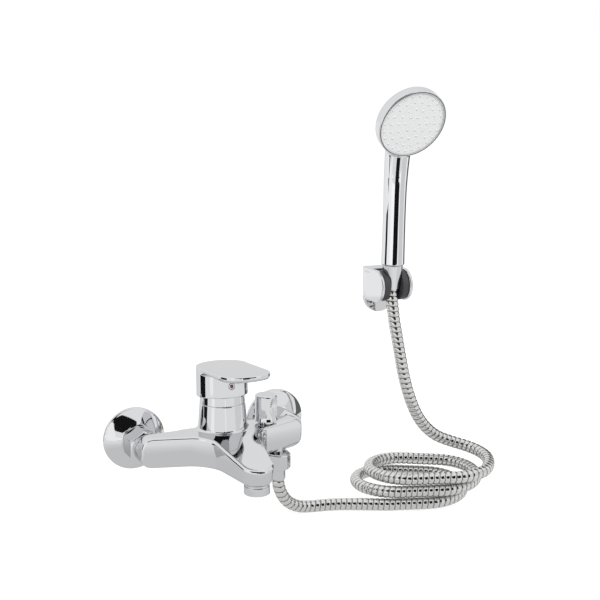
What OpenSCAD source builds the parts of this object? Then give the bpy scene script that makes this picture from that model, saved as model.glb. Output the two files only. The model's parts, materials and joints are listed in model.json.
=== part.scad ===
// Wall-mounted bath shower mixer with a hand shower, a ribbed hose and a wall bracket.
// Millimetres. The origin is on the wall, midway between the two inlet axes.
// X runs to the right, Y runs into the wall and Z runs up, so the mixer lies at negative Y.

/* [Inlets] */
// Distance between the two inlet axes
inlet_spacing = 150; // [146:1:160]
// How far each wall thread sits below the inlet axis
union_offset = 6; // [2:0.5:7]
// Radius of the wall thread
wall_thread_r = 10.48; // [9.5:0.02:11]
// Length of the wall thread
wall_thread_l = 16; // [12:1:22]
// Radius of the thread inside the union nut
union_thread_r = 13.22; // [12.8:0.02:13.6]
// How far the union stands out past the escutcheon
union_reach = 10; // [8:0.5:12]
// Radius of the water bore in the unions
inlet_bore_r = 7; // [5:0.1:8]
// Width of the union nut across its flats
union_nut_af = 30; // [29.5:0.5:33]
// Length of the union nut's inward lip
union_nut_lip = 5; // [3:0.5:6]
// Thickness of the union seal
union_seal_t = 2.5; // [1.5:0.1:3.5]
// Thickness of the inlet tail's flange
tail_flange_t = 3.5; // [2.5:0.1:5]
// Radius of the inlet tail
tail_r = 10; // [9:0.1:10.5]
// Length of the inlet tail inside the body
tail_depth = 7; // [5:0.5:8]

/* [Escutcheons] */
// Radius of the escutcheon's rim
escutcheon_r = 30.8; // [28:0.2:34]
// Depth of the escutcheon from the wall
escutcheon_d = 14; // [12:0.5:16]
// Thickness of the escutcheon's rim
escutcheon_rim = 3.9; // [2.5:0.1:5]
// Thickness of the escutcheon's shell
escutcheon_wall = 1.2; // [0.8:0.1:1.8]
// Radius of the escutcheon's collar
escutcheon_collar_r = 16.5; // [15.5:0.1:19]

/* [Body] */
// Height of the body above the inlet axis
body_above = 15; // [13:0.5:18]
// Height of the body below the inlet axis
body_below = 17.3; // [16:0.1:20]
// Gap between the union nuts and the body
body_gap = 3; // [2:0.5:5]
// How far the arms pass the inlet axes
arm_overhang = 8; // [7:0.5:11]
// Depth of the arms at their ends
arm_depth = 14.6; // [13.6:0.1:18]
// Sweep of the arms' front faces in degrees
arm_sweep = 17.4; // [15:0.1:19]
// Corner radius of the arms' ends, seen from the front
arm_corner_r = 7; // [3:0.5:10]
// Distance of the tower's axis from the body's back face
tower_set = 9.5; // [9:0.1:11]
// Radius of the tower at its foot
tower_foot_r = 23.9; // [23:0.1:26]
// Radius of the tower at its top
tower_top_r = 21.9; // [21.2:0.1:23]
// Height of the tower's top above the inlet axis
tower_top_z = 40; // [39:0.5:43]
// Reach of the spout from the tower's axis to the aerator's axis
spout_reach = 82.5; // [76:0.5:95]
// Radius of the spout's round tip
spout_tip_r = 16; // [14.5:0.1:18]
// Half width of the spout at its root
spout_root_w = 24.9; // [23:0.1:27]
// Height of the spout's top at its tip, above the inlet axis
spout_tip_top = 1; // [0:0.5:6]
// Radius of the fillet between an arm and the spout
spout_fillet_r = 15; // [8:0.5:17]

/* [Waterways] */
// Radius of the hot and cold waterways
feed_r = 2.2; // [1.6:0.1:2.4]
// Radius of the mixed waterways to and from the diverter
mixed_r = 2.5; // [1.8:0.1:2.8]
// Radius of the waterway in the spout
spout_bore_r = 5; // [3.5:0.1:6]
// Height of the spout's waterway
spout_bore_z = -6; // [-8:0.5:-5]
// Radius of the ports under the cartridge
port_r = 2.6; // [2:0.1:2.9]
// Sideways distance of the hot and cold ports
port_x = 8; // [7.5:0.1:8.6]
// Distance of the hot and cold ports behind the tower's axis
port_back = 6; // [5:0.1:6.2]
// Distance of the mixed port in front of the tower's axis
port_front = 8.5; // [7.5:0.1:9]

/* [Cartridge] */
// Radius of the cartridge
cartridge_r = 17.5; // [17.2:0.1:18]
// Height of the cartridge's seat
cartridge_seat_z = 4; // [3:0.5:5]
// Height of the cartridge's shoulder above its seat
cartridge_shoulder = 30; // [29:0.5:31]
// Radius of the cartridge's collar above the shoulder
cartridge_collar_r = 13.8; // [13.4:0.1:14.2]
// Height of the collar above the shoulder
cartridge_collar_h = 8; // [7:0.5:9]
// Thickness of the cartridge's base
cartridge_base_t = 5; // [4:0.5:6]
// Radius of the fixed ceramic disc
fixed_disc_r = 12.4; // [11.8:0.1:12.7]
// Thickness of each ceramic disc
disc_t = 4; // [3:0.5:4.5]
// Radius of the moving ceramic disc
moving_disc_r = 9; // [8.6:0.1:9.6]
// Radius of the disc chamber
chamber_r = 13; // [12.8:0.1:13.2]
// Radius of the rotor
rotor_r = 12; // [11.7:0.1:12.3]
// Height of the lift axis above the cartridge's seat
pivot_h = 26; // [25.5:0.5:27]
// Radius of the lift pin
pivot_r = 2; // [1.5:0.1:2.2]
// Width of the square stem
stem_w = 8; // [7:0.1:8.4]
// Length of the stem above the lift axis
stem_up = 36; // [34:0.5:37]
// Length of the stem's arm below the lift axis
stem_arm = 8; // [7.6:0.1:8.4]
// Radius of the ball on the stem's arm
stem_ball_r = 3; // [2.5:0.1:3.2]
// Radius of the retaining nut's thread
retainer_r = 18.95; // [18.4:0.05:19.2]
// Width of the retaining nut across its flats
retainer_af = 31; // [29.5:0.5:32]
// Radius of the cap ring
cap_ring_r = 21.8; // [21:0.1:22]
// Height of the cap ring
cap_ring_h = 10; // [8:0.5:10.5]

/* [Lever] */
// Rest turn of the lever towards the right in degrees
lever_turn = 0; // [-6:0.5:6]
// Radius of the lever's skirt
skirt_r = 24.8; // [24.4:0.1:26]
// Thickness of the skirt's wall
skirt_wall = 1.4; // [1:0.1:1.8]
// Height of the skirt's lower edge at the axis
skirt_bottom_z = 47.4; // [47:0.1:49.5]
// Slope of the skirt's lower edge in degrees
skirt_slope = 5; // [3:0.5:6]
// Height of the lever's top at the axis
lever_top_z = 76.7; // [75.5:0.1:80]
// Thickness of the blade
blade_t = 5.6; // [4.4:0.2:6.4]
// Slope of the blade in degrees
blade_slope = 5; // [3:0.1:6]
// Reach of the blade in front of the axis
blade_reach = 77; // [66:1:88]
// Half width of the blade at its front
blade_half_w = 23.4; // [16:0.1:25]
// Corner radius of the blade's front
blade_corner_r = 14; // [4:0.5:15]
// Radius of the stem's socket inside the lever
socket_r = 9; // [8.2:0.1:9.2]
// Height of the lever's screw above the lift axis
screw_up = 31; // [30:0.5:31.5]
// Radius of the lever's screw
screw_r = 2.5; // [2:0.1:2.6]
// Radius of the index plug
plug_r = 2.9; // [2.6:0.1:3.2]

/* [Aerator] */
// Radius of the aerator's housing
aerator_r = 12; // [11.8:0.1:13]
// Height of the aerator below the body
aerator_h = 7.5; // [5:0.5:10]
// Radius of the aerator's thread
aerator_thread_r = 11; // [10.4:0.1:11.4]
// Length of the aerator's thread
aerator_thread_l = 6; // [4.5:0.5:7]
// Radius of the aerator's insert
aerator_insert_r = 9.4; // [8.5:0.1:9.8]

/* [Diverter] */
// Sideways place of the diverter
diverter_x = 43; // [42.5:0.5:44]
// Distance of the diverter in front of the tower's axis
diverter_front = 6.5; // [6.2:0.1:7]
// Radius of the diverter's chamber
diverter_r = 6; // [5.6:0.1:6.2]
// Depth of the diverter's chamber below the inlet axis
diverter_depth = 8; // [7.5:0.5:9]
// Radius of the diverter's stem
diverter_stem_r = 2.5; // [2:0.1:2.6]
// Radius of the bush's flange
bush_flange_r = 8; // [7.5:0.5:9]
// Height of the bush's flange
bush_flange_t = 2; // [1.5:0.5:3]
// Radius of the diverter's knob
knob_r = 11.75; // [10.5:0.25:12.5]
// Height of the diverter's knob
knob_h = 26; // [24:0.5:28]
// Radius of the finger scoops in the knob
scoop_r = 12; // [9:0.5:13]
// Depth of the finger scoops
scoop_depth = 2.8; // [1.5:0.1:3.5]
// Radius of the spring's wire
spring_wire_r = 0.4; // [0.3:0.05:0.5]

/* [Shower outlet] */
// Sideways place of the shower outlet
outlet_x = 55.5; // [55:0.5:56]
// Radius of the outlet's thread
outlet_thread_r = 10.48; // [10:0.02:10.6]
// Length of the outlet's nipple below the body
outlet_l = 10.7; // [9:0.1:12]
// Radius of the nipple's shank in the body
outlet_shank_r = 5.4; // [5:0.1:5.6]
// Length of the nipple's shank in the body
outlet_shank_l = 7.5; // [6:0.1:7.8]
// Width of the hose nut across its flats
hose_nut_af = 23.4; // [22.8:0.2:26]
// Thickness of the hose washers
hose_washer_t = 2; // [1.5:0.1:2.5]
// Thickness of the hose nut's lip
hose_nut_lip = 2; // [1.5:0.1:3]

/* [Hose] */
// Outer diameter of the hose
hose_d = 12.5; // [11.5:0.1:12.6]
// Depth of the grooves between the ribs
rib_depth = 0.5; // [0.2:0.1:0.8]
// Diameter of the hose's bore
hose_bore = 8; // [6:0.1:9]
// Number of ribs along the hose
rib_count = 190; // [100:1:200]
// Thickness of the ferrule round the lower end
ferrule_wall = 1.2; // [0.8:0.1:1.3]
// Length of the ferrule below the hose nut's seat
ferrule_l = 13; // [11:0.5:14]
// Radius of the coil's round ends
coil_r = 40; // [39:0.5:41]
// Length of the coil's straight sides
coil_straight = 38; // [35:1:43]
// Rise of the coil in one turn
coil_rise = 13.6; // [13.4:0.1:15.4]
// Shift of the coil along its length in one turn
coil_drift = 14; // [10:0.5:16]
// Number of turns in the coil
coil_turns = 2.24; // [2.22:0.01:2.26]

/* [Bracket] */
// Sideways place of the bracket
bracket_x = 196; // [190:1:205]
// Width of the bracket
bracket_w = 37; // [36:0.5:42]
// Height of the bracket's top
bracket_top_z = 150.6; // [148:0.2:152]
// Height of the bracket's round lower end
bracket_bottom_z = 101.5; // [98:0.5:103]
// Thickness of the bracket's wall plate
bracket_plate_t = 5; // [4:0.1:6]
// Thickness of the bracket's cheeks
cheek_t = 4; // [3:0.1:4.2]
// Radius of the bracket's cheeks
cheek_r = 17; // [16.6:0.1:18]
// Distance of the barrel's axis from the wall
barrel_out = 25; // [24:0.1:27]
// Gap between the barrel and the cheeks' edge
barrel_inset = 1; // [0.6:0.1:1.6]
// Width of the barrel's front slot
slot_w = 14.4; // [13.2:0.1:16]
// Radius of the bracket's pivots
bracket_pivot_r = 3; // [2:0.1:4]
// Distance between the bracket's wall screws
wall_screw_spacing = 19; // [16:0.5:21]
// Radius of the wall screws
wall_screw_r = 2; // [1.75:0.05:2.25]
// Length of the wall screws beyond the wall's face
wall_screw_l = 24; // [18:1:30]

/* [Hand shower] */
// Distance of the handle's lower end from the wall
handle_out = 30.4; // [29.5:0.1:31]
// Height of the handle's lower end
handle_z = 156; // [155.5:0.5:160]
// Lean of the handle away from the wall in degrees
handle_lean = 1.8; // [0:0.1:4]
// Radius of the handle
handle_r = 12; // [11.6:0.1:13]
// Length of the straight handle
handle_l = 96; // [85:1:106]
// Radius of the conical nut's upper end
cone_top_r = 10.6; // [10.4:0.1:11]
// Radius of the conical nut's lower end
cone_bottom_r = 7.3; // [7.1:0.1:7.6]
// Length of the conical nut
cone_l = 25; // [24:0.5:27]
// Radius of the hand shower's inlet thread
handset_thread_r = 8.4; // [8:0.05:8.5]
// Distance of the spray face's centre from the handle's axis
head_front = 31; // [28:0.5:34]
// Height of the spray face's centre above the handle's lower end
head_up = 144.5; // [138:0.5:152]
// Downward tilt of the spray face in degrees
head_tilt = 25; // [18:0.5:30]
// Radius of the head
head_r = 36.5; // [36:0.1:41.5]
// Thickness of the head
head_t = 21; // [18:0.5:24]
// Depth of the head's straight side
head_side = 12; // [8:0.5:14]
// Radius of the spray plate
spray_r = 33.9; // [32:0.1:34.4]
// Thickness of the spray plate
spray_t = 3; // [2:0.5:4]
// Radius of a spray nozzle
nozzle_r = 0.9; // [0.6:0.1:1.2]
// Height of a spray nozzle
nozzle_h = 1; // [0.5:0.1:1.5]

/* [Hidden] */
$fn = 96;

// Clearances: a seat that stays put, a running fit, and a gap between moving faces
seat_gap = 0.05;
run_gap = 0.06;
move_gap = 0.3;
past = 1;
far_cut = 4 * inlet_spacing;

// Inlet chain, as distances from the wall
inlet_x = inlet_spacing / 2;
union_front = escutcheon_d + union_reach;
tail_front = union_front + union_seal_t;
nut_seat = tail_front + tail_flange_t;
nut_end = nut_seat + union_nut_lip;
nut_start = escutcheon_d + move_gap;
body_back = nut_end + body_gap;
tail_flange_r = union_thread_r - 1;
union_block_r = inlet_bore_r + union_offset + 2;
union_block_d = 7;
socket_room = 4;

// Body places
tower_y = -(body_back + tower_set);
aerator_y = tower_y - spout_reach;
body_end = inlet_x + arm_overhang;
arm_end_y = -(body_back + arm_depth);
arm_root_y = arm_end_y - (body_end - spout_root_w) * tan(arm_sweep);
spout_slope_y = tower_y - tower_foot_r;
tower_h = tower_top_z - body_above;
aerator_bore_top = -body_below + aerator_thread_l + 4;

// Cartridge heights
shoulder_z = cartridge_seat_z + cartridge_shoulder;
collar_top_z = shoulder_z + cartridge_collar_h;
base_top_z = cartridge_seat_z + cartridge_base_t;
moving_z = base_top_z + disc_t + seat_gap;
carrier_z = moving_z + disc_t;
pivot_z = cartridge_seat_z + pivot_h;
ball_z = pivot_z - stem_arm;
carrier_floor_z = ball_z - stem_ball_r - 0.5;
carrier_top_z = ball_z + 2;
rotor_z = carrier_top_z + move_gap;
rotor_lip = 1;
rotor_top_z = collar_top_z - rotor_lip - move_gap;
disc_shift = 1.5;
seal_t = 1.8;
retainer_rise = 3;
retainer_hex_h = 4;
retainer_thread_top = tower_top_z + retainer_rise;
retainer_top_z = retainer_thread_top + retainer_hex_h;
lift_room_back = 9.7;
lift_room_front = 5.6;

// Lever places
skirt_inner_r = skirt_r - skirt_wall;
roof_z = lever_top_z - blade_t;
blade_bow = blade_half_w * 0.42;
blade_tip_r = blade_half_w * 1.1;
blade_tip_y = -blade_reach - blade_tip_r * (norm([blade_bow, blade_half_w]) / blade_half_w - 1);
stem_top_z = pivot_z + stem_up;
socket_gap = 7;
socket_bottom_z = retainer_top_z + socket_gap;
screw_z = pivot_z + screw_up;

// Diverter places
diverter_y = tower_y - diverter_front;
bush_bottom_z = 1;
bush_shoulder_z = 8;
bush_bore_r = 4;
plunger_t = 2.9;
plunger_z = -diverter_depth + 0.1;
bush_top_z = body_above + bush_flange_t;
knob_z = bush_top_z + move_gap;
knob_socket_l = 13;
spring_turns = 5;

// Shower outlet places
nipple_end_z = -body_below - outlet_l;
washer_end_z = nipple_end_z - hose_washer_t;
tail_seat_z = washer_end_z - 1.5;
ferrule_end_z = tail_seat_z - ferrule_l;
nipple_bore_r = 4;
valve_r = 5;
valve_l = 7;

// Bracket places
barrel_r = cheek_r - barrel_inset;
barrel_z = bracket_top_z - cheek_r;
plate_r = bracket_w / 2;
cheek_gap = bracket_w / 2 - cheek_t;
barrel_half_w = cheek_gap - move_gap - 0.1;
cone_gap = 0.3;
wall_screw_head_r = 3.8;
wall_screw_head_t = 2.2;

// Hand shower places, along the handle from its lower end
cone_start = -0.3;
cone_end = cone_start - cone_l;
thread_depth = 7;
cone_shoulder = cone_start - thread_depth;
hose_stop = cone_shoulder - 4;
inlet_tip = cone_shoulder + hose_washer_t;
inlet_seat_l = 14;
handle_wall = 2.3;
head_y = -head_front;
neck_bore_r = 6;
neck_l = 14;
neck_sink = 1;
head_room = head_side - 2;
neck_drop = spray_r / 3;
neck_depth = head_room - 1;
neck_start = [0, handle_r / 6, handle_l - neck_l];
neck_end = [
    0,
    head_y + neck_depth * cos(head_tilt) + neck_drop * sin(head_tilt),
    head_up + neck_depth * sin(head_tilt) - neck_drop * cos(head_tilt)
];
nozzle_rings = [[6, 8], [12, 16], [18, 24], [24, 30.5]];
trim_w = 1;

// A point on the handle's axis, at a distance along it from the handle's lower end
function on_handle(s) = [bracket_x, -handle_out - s * sin(handle_lean), handle_z + s * cos(handle_lean)];

// Hose route: straight inside the ferrule, chosen points to the coil, chosen points up from the coil,
// and straight inside the conical nut
hose_r = hose_d / 2;
hose_low = [
    [outlet_x, diverter_y, tail_seat_z],
    [outlet_x, diverter_y, (tail_seat_z + ferrule_end_z) / 2],
    [outlet_x, diverter_y, ferrule_end_z]
];
hose_run = [
    [56.5, -53.8, -53], [60.5, -53, -63], [68, -51.5, -72.5], [80, -50, -79.5], [94, -50, -82],
    [112, -54, -82], [130, -61, -82]
];
hose_rise = [
    [277, -95.5, -50.5], [285, -80, -49], [285, -64, -47], [278, -50, -44.5], [265.5, -40, -40.5],
    [250.5, -35, -33.5], [237.5, -34, -22.5], [226.5, -35, -8.5], [218, -36.5, 7.5], [211.5, -37, 24.5],
    [207, -36, 42.5], [204, -34.5, 60.5], [201.2, -32.5, 79], [198.4, -30.8, 97.5]
];
hose_lead = 9;
hose_high = [
    on_handle(cone_end - hose_lead), on_handle(cone_end),
    on_handle((cone_end + hose_stop) / 2), on_handle(hose_stop - seat_gap)
];
coil_centre = [199, -51];
coil_angle = -25.5;
coil_floor_z = -82;
coil_step = 12;
hose_sides = 8;
bore_every = 4;

// Plan and profile helpers

function unit(v) = v / norm(v);

function corner_arc(a, b, c, r, n) =
    let (
        u = unit(a - b),
        v = unit(c - b),
        half = acos(u * v) / 2,
        centre = b + unit(u + v) * r / sin(half),
        p = b + u * r / tan(half) - centre,
        q = b + v * r / tan(half) - centre,
        start = atan2(p[1], p[0]),
        turn = atan2(p[0] * q[1] - p[1] * q[0], p * q)
    )
    [for (i = [0:n]) centre + r * [cos(start + turn * i / n), sin(start + turn * i / n)]];

// Each corner is [x, y, radius]
function rounded(corners, n = 6) =
    let (count = len(corners))
    [
        for (i = [0:count - 1])
            let (
                a = corners[(i + count - 1) % count],
                b = corners[i],
                c = corners[(i + 1) % count]
            )
            each b[2] > 0
                ? corner_arc([a[0], a[1]], [b[0], b[1]], [c[0], c[1]], b[2], n)
                : [[b[0], b[1]]]
    ];

module chrome() color([0.82, 0.83, 0.85]) children();
module brass() color([0.78, 0.62, 0.3]) children();
module rubber() color([0.1, 0.1, 0.1]) children();
module plastic() color([0.88, 0.88, 0.86]) children();
module ceramic_white() color([0.95, 0.94, 0.9]) children();
module dark_plastic() color([0.2, 0.2, 0.21]) children();
module steel() color([0.6, 0.61, 0.63]) children();

// Points a cylinder away from the wall, starting at a distance from it
module outward(d) translate([0, -d, 0]) rotate([90, 0, 0]) children();

module tube(r_out, r_in, h) {
    difference() {
        cylinder(r = r_out, h = h);
        translate([0, 0, -past]) cylinder(r = r_in, h = h + 2 * past);
    }
}

// A straight drilled hole between two points
module drill(a, b, r) {
    d = b - a;
    translate(a)
        rotate([0, acos(d[2] / norm(d)), atan2(d[1], d[0])])
            cylinder(r = r, h = norm(d));
}

module torus(ring_r, wire_r) rotate_extrude() translate([ring_r, 0]) circle(r = wire_r, $fn = 32);

module at_inlet(side) translate([side * inlet_x, 0, 0]) children();
module at_tower() translate([0, tower_y, 0]) children();
module at_lever() at_tower() rotate([0, 0, lever_turn]) children();
module at_diverter() translate([diverter_x, diverter_y, 0]) children();
module at_outlet() translate([outlet_x, diverter_y, 0]) children();
module at_aerator() translate([0, aerator_y, -body_below]) children();
module at_bracket() translate([bracket_x, 0, 0]) children();
module at_barrel() translate([bracket_x, -barrel_out, barrel_z]) children();
module at_handle() translate([bracket_x, -handle_out, handle_z]) rotate([handle_lean, 0, 0]) children();
// The spray face: its own Z points out of the face
module at_face() at_handle() translate([0, head_y, head_up]) rotate([90 + head_tilt, 0, 0]) children();

// Inlet pieces

module escutcheon(side) {
    hole_r = union_thread_r + seat_gap;
    chrome() at_inlet(side) outward(0) rotate_extrude() polygon([
        [escutcheon_r, 0],
        [escutcheon_r, escutcheon_rim],
        [escutcheon_collar_r, escutcheon_d],
        [hole_r, escutcheon_d],
        [hole_r, escutcheon_d - escutcheon_wall],
        [escutcheon_collar_r - escutcheon_wall, escutcheon_d - escutcheon_wall],
        [escutcheon_r - escutcheon_wall, escutcheon_rim - escutcheon_wall],
        [escutcheon_r - escutcheon_wall, 0]
    ]);
}

module eccentric_union(side) {
    brass() at_inlet(side) difference() {
        union() {
            translate([0, 0, -union_offset])
                outward(-wall_thread_l) cylinder(r = wall_thread_r, h = wall_thread_l);
            outward(0) cylinder(r = union_block_r, h = union_block_d);
            outward(union_block_d) cylinder(r = union_thread_r, h = union_front - union_block_d);
        }
        translate([0, 0, -union_offset])
            outward(-wall_thread_l - past)
                cylinder(r = inlet_bore_r, h = wall_thread_l + past + union_block_d - 2);
        outward(2) cylinder(r = inlet_bore_r, h = union_front);
    }
}

module union_nut(side) {
    chrome() at_inlet(side) difference() {
        outward(nut_start) cylinder(d = union_nut_af / cos(30), h = nut_end - nut_start, $fn = 6);
        outward(nut_start - past) cylinder(r = union_thread_r + seat_gap, h = nut_seat - nut_start + past);
        outward(nut_seat - past) cylinder(r = tail_r + 0.15, h = union_nut_lip + 2 * past);
    }
}

module union_seal(side) {
    rubber() at_inlet(side) outward(union_front) tube(tail_flange_r, inlet_bore_r + 1, union_seal_t);
}

module inlet_tail(side) {
    brass() at_inlet(side) difference() {
        union() {
            outward(tail_front) cylinder(r = tail_flange_r, h = tail_flange_t);
            outward(nut_seat) cylinder(r = tail_r, h = body_back + tail_depth - nut_seat);
        }
        outward(tail_front - past) cylinder(r = inlet_bore_r, h = body_back + tail_depth);
    }
}

// Body

module body_plan() {
    root = [spout_root_w, arm_root_y - aerator_y];
    touch = atan2(root[1], root[0]) - acos(spout_tip_r / norm(root));
    half = [
        [body_end, -body_back, 0],
        [body_end, arm_end_y, 2],
        [spout_root_w, arm_root_y, spout_fillet_r],
        [spout_tip_r * cos(touch), aerator_y + spout_tip_r * sin(touch), 0]
    ];
    left = [for (i = [len(half) - 1:-1:0]) [-half[i][0], half[i][1], half[i][2]]];
    polygon(rounded(concat(half, left)));
    translate([0, aerator_y]) circle(r = spout_tip_r);
}

module arm_profile() {
    polygon(rounded([
        [-body_end, -body_below, arm_corner_r],
        [body_end, -body_below, arm_corner_r],
        [body_end, body_above, arm_corner_r],
        [-body_end, body_above, arm_corner_r]
    ]));
}

module body_side_cut() {
    tip_y = aerator_y - spout_tip_r - past;
    slope = (body_above - spout_tip_top) / (spout_slope_y - aerator_y + spout_tip_r);
    polygon([
        [spout_slope_y, body_above],
        [tip_y, spout_tip_top - slope * past],
        [tip_y, body_above + past],
        [spout_slope_y, body_above + past]
    ]);
}

module body_shell() {
    difference() {
        intersection() {
            translate([0, 0, -body_below]) linear_extrude(body_below + body_above) body_plan();
            outward(0) linear_extrude(-aerator_y + 2 * spout_tip_r) arm_profile();
        }
        rotate([90, 0, 90]) linear_extrude(4 * spout_tip_r, center = true) body_side_cut();
    }
    at_tower() translate([0, 0, -body_below]) cylinder(r = tower_foot_r, h = body_below + body_above);
    at_tower() translate([0, 0, body_above]) cylinder(r1 = tower_foot_r, r2 = tower_top_r, h = tower_h);
}

module inlet_waterway(side) {
    at_inlet(side) outward(body_back - past)
        cylinder(r = tail_r + seat_gap, h = tail_depth + socket_room + past);
    socket_y = -(body_back + tail_depth + socket_room / 2);
    drill([side * inlet_x, socket_y, 0], [side * port_x, tower_y + port_back, 0], feed_r);
    translate([side * port_x, tower_y + port_back, -feed_r / 2])
        cylinder(r = port_r, h = cartridge_seat_z + feed_r);
}

module mixed_waterway() {
    port_y = tower_y - port_front;
    low_z = -diverter_depth / 2;
    translate([0, port_y, low_z - mixed_r])
        cylinder(r = port_r, h = cartridge_seat_z - low_z + mixed_r + past);
    drill([0, port_y, low_z], [diverter_x, diverter_y, low_z], mixed_r);
    join_y = spout_slope_y - tower_top_r * 0.75;
    drill([diverter_x, diverter_y, 6], [0, join_y, spout_bore_z + 1], mixed_r);
    translate([0, join_y + spout_bore_r, spout_bore_z])
        rotate([90, 0, 0]) cylinder(r = spout_bore_r, h = join_y + spout_bore_r - aerator_y);
}

module shower_waterway() {
    low_z = -diverter_depth - 3;
    at_diverter() translate([0, 0, -diverter_depth])
        cylinder(r = diverter_r, h = body_above + diverter_depth + past);
    at_diverter() translate([0, 0, low_z]) cylinder(r = mixed_r + 1, h = 3 + past);
    drill([diverter_x, diverter_y, low_z], [outlet_x, diverter_y, low_z], mixed_r);
    at_outlet() translate([0, 0, -body_below - past])
        cylinder(r = outlet_shank_r + seat_gap, h = outlet_shank_l + past + 0.5);
}

module body() {
    chrome() difference() {
        body_shell();
        at_tower() translate([0, 0, cartridge_seat_z]) cylinder(r = cartridge_r + 0.1, h = tower_top_z);
        at_tower() translate([0, 0, shoulder_z]) cylinder(r = retainer_r + seat_gap, h = tower_top_z);
        inlet_waterway(-1);
        inlet_waterway(1);
        mixed_waterway();
        shower_waterway();
        at_aerator() translate([0, 0, -past])
            cylinder(r = aerator_thread_r + seat_gap, h = aerator_bore_top + body_below + past);
    }
}

// Cartridge

module ports(z, h, r) {
    for (place = [[-port_x, port_back], [port_x, port_back], [0, -port_front]])
        translate([place[0], place[1], z]) cylinder(r = r, h = h);
}

module cartridge_housing() {
    plastic() at_tower() difference() {
        union() {
            translate([0, 0, cartridge_seat_z]) cylinder(r = cartridge_r, h = cartridge_shoulder);
            translate([0, 0, shoulder_z - past])
                cylinder(r = cartridge_collar_r, h = cartridge_collar_h + past);
        }
        ports(cartridge_seat_z - past, cartridge_base_t + 2 * past, port_r);
        ports(cartridge_seat_z - past, seal_t + past, port_r + 1.5 + seat_gap);
        translate([0, 0, base_top_z]) cylinder(r = chamber_r, h = rotor_z - base_top_z);
        translate([0, 0, rotor_z - past])
            cylinder(r = rotor_r + run_gap, h = rotor_top_z + move_gap - rotor_z + past);
        translate([0, 0, rotor_z]) cylinder(r = rotor_r - rotor_lip, h = collar_top_z);
    }
}

module cartridge_base_seals() {
    rubber() at_tower() for (place = [[-port_x, port_back], [port_x, port_back], [0, -port_front]])
        translate([place[0], place[1], cartridge_seat_z]) tube(port_r + 1.5, port_r, seal_t);
}

module fixed_disc() {
    ceramic_white() at_tower() difference() {
        translate([0, 0, base_top_z]) cylinder(r = fixed_disc_r, h = disc_t);
        ports(base_top_z - past, disc_t + 2 * past, port_r);
    }
}

module moving_disc() {
    ceramic_white() at_lever() translate([0, disc_shift, moving_z]) difference() {
        cylinder(r = moving_disc_r, h = disc_t);
        translate([0, 0, -past]) cylinder(r = moving_disc_r * 0.7, h = disc_t / 2 + past);
    }
}

module disc_carrier() {
    dark_plastic() at_lever() difference() {
        translate([0, disc_shift, carrier_z])
            cylinder(r = moving_disc_r - 0.4, h = carrier_top_z - carrier_z);
        translate([0, 0, carrier_floor_z + moving_disc_r])
            cube([stem_ball_r * 4, 2 * stem_ball_r + 0.5, 2 * moving_disc_r], center = true);
    }
}

module cartridge_rotor() {
    plastic() at_lever() difference() {
        translate([0, 0, rotor_z]) cylinder(r = rotor_r, h = rotor_top_z - rotor_z);
        translate([-stem_w / 2 - move_gap, -lift_room_front, rotor_z - past])
            cube([stem_w + 2 * move_gap, lift_room_front + lift_room_back, rotor_top_z]);
        translate([-rotor_r, 0, pivot_z])
            rotate([0, 90, 0]) cylinder(r = pivot_r + seat_gap, h = 2 * rotor_r);
    }
}

module lift_pin() {
    steel() at_lever() translate([-rotor_r + past, 0, pivot_z])
        rotate([0, 90, 0]) cylinder(r = pivot_r, h = 2 * (rotor_r - past));
}

module lever_stem() {
    block_z = pivot_z - pivot_r - 2;
    brass() at_lever() difference() {
        union() {
            translate([0, 0, ball_z]) sphere(r = stem_ball_r);
            translate([0, 0, ball_z]) cylinder(r = stem_ball_r - 1, h = stem_arm);
            translate([-stem_w / 2, -stem_w / 2, block_z]) cube([stem_w, stem_w, stem_top_z - block_z]);
        }
        translate([-stem_w, 0, pivot_z]) rotate([0, 90, 0]) cylinder(r = pivot_r + run_gap, h = 2 * stem_w);
    }
}

module retaining_nut() {
    brass() at_tower() difference() {
        union() {
            translate([0, 0, shoulder_z]) cylinder(r = retainer_r, h = retainer_thread_top - shoulder_z);
            translate([0, 0, shoulder_z])
                cylinder(d = retainer_af / cos(30), h = retainer_top_z - shoulder_z, $fn = 6);
        }
        translate([0, 0, shoulder_z - past])
            cylinder(r = cartridge_collar_r + 0.1, h = retainer_top_z - shoulder_z + 2 * past);
    }
}

module cap_ring() {
    chamfer = 0.8;
    inner_r = retainer_r + seat_gap;
    chrome() at_tower() translate([0, 0, tower_top_z]) rotate_extrude() polygon([
        [inner_r, 0],
        [cap_ring_r, 0],
        [cap_ring_r, cap_ring_h - chamfer],
        [cap_ring_r - chamfer, cap_ring_h],
        [inner_r, cap_ring_h]
    ]);
}

// Lever

module blade_plan() {
    polygon(rounded([
        [skirt_r * 0.98, -skirt_r * 0.19, 0],
        [-skirt_r * 0.98, -skirt_r * 0.19, 0],
        [-blade_half_w, blade_tip_y + blade_bow, blade_corner_r],
        [0, blade_tip_y, blade_tip_r],
        [blade_half_w, blade_tip_y + blade_bow, blade_corner_r]
    ]));
    circle(r = skirt_r);
}

module above_slope(z, slope) {
    translate([0, 0, z]) rotate([-slope, 0, 0])
        translate([-far_cut / 2, -far_cut / 2, 0]) cube(far_cut);
}

module below_slope(z, slope) {
    translate([0, 0, z]) rotate([-slope, 0, 0])
        translate([-far_cut / 2, -far_cut / 2, -far_cut]) cube(far_cut);
}

module lever_outer() {
    difference() {
        union() {
            translate([0, 0, skirt_bottom_z - skirt_r * tan(skirt_slope) - past])
                cylinder(r = skirt_r, h = lever_top_z - skirt_bottom_z + 12);
            difference() {
                translate([0, 0, roof_z - blade_t]) linear_extrude(3 * blade_t) blade_plan();
                below_slope(roof_z, blade_slope);
            }
        }
        above_slope(lever_top_z, blade_slope);
        below_slope(skirt_bottom_z, skirt_slope);
    }
}

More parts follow.
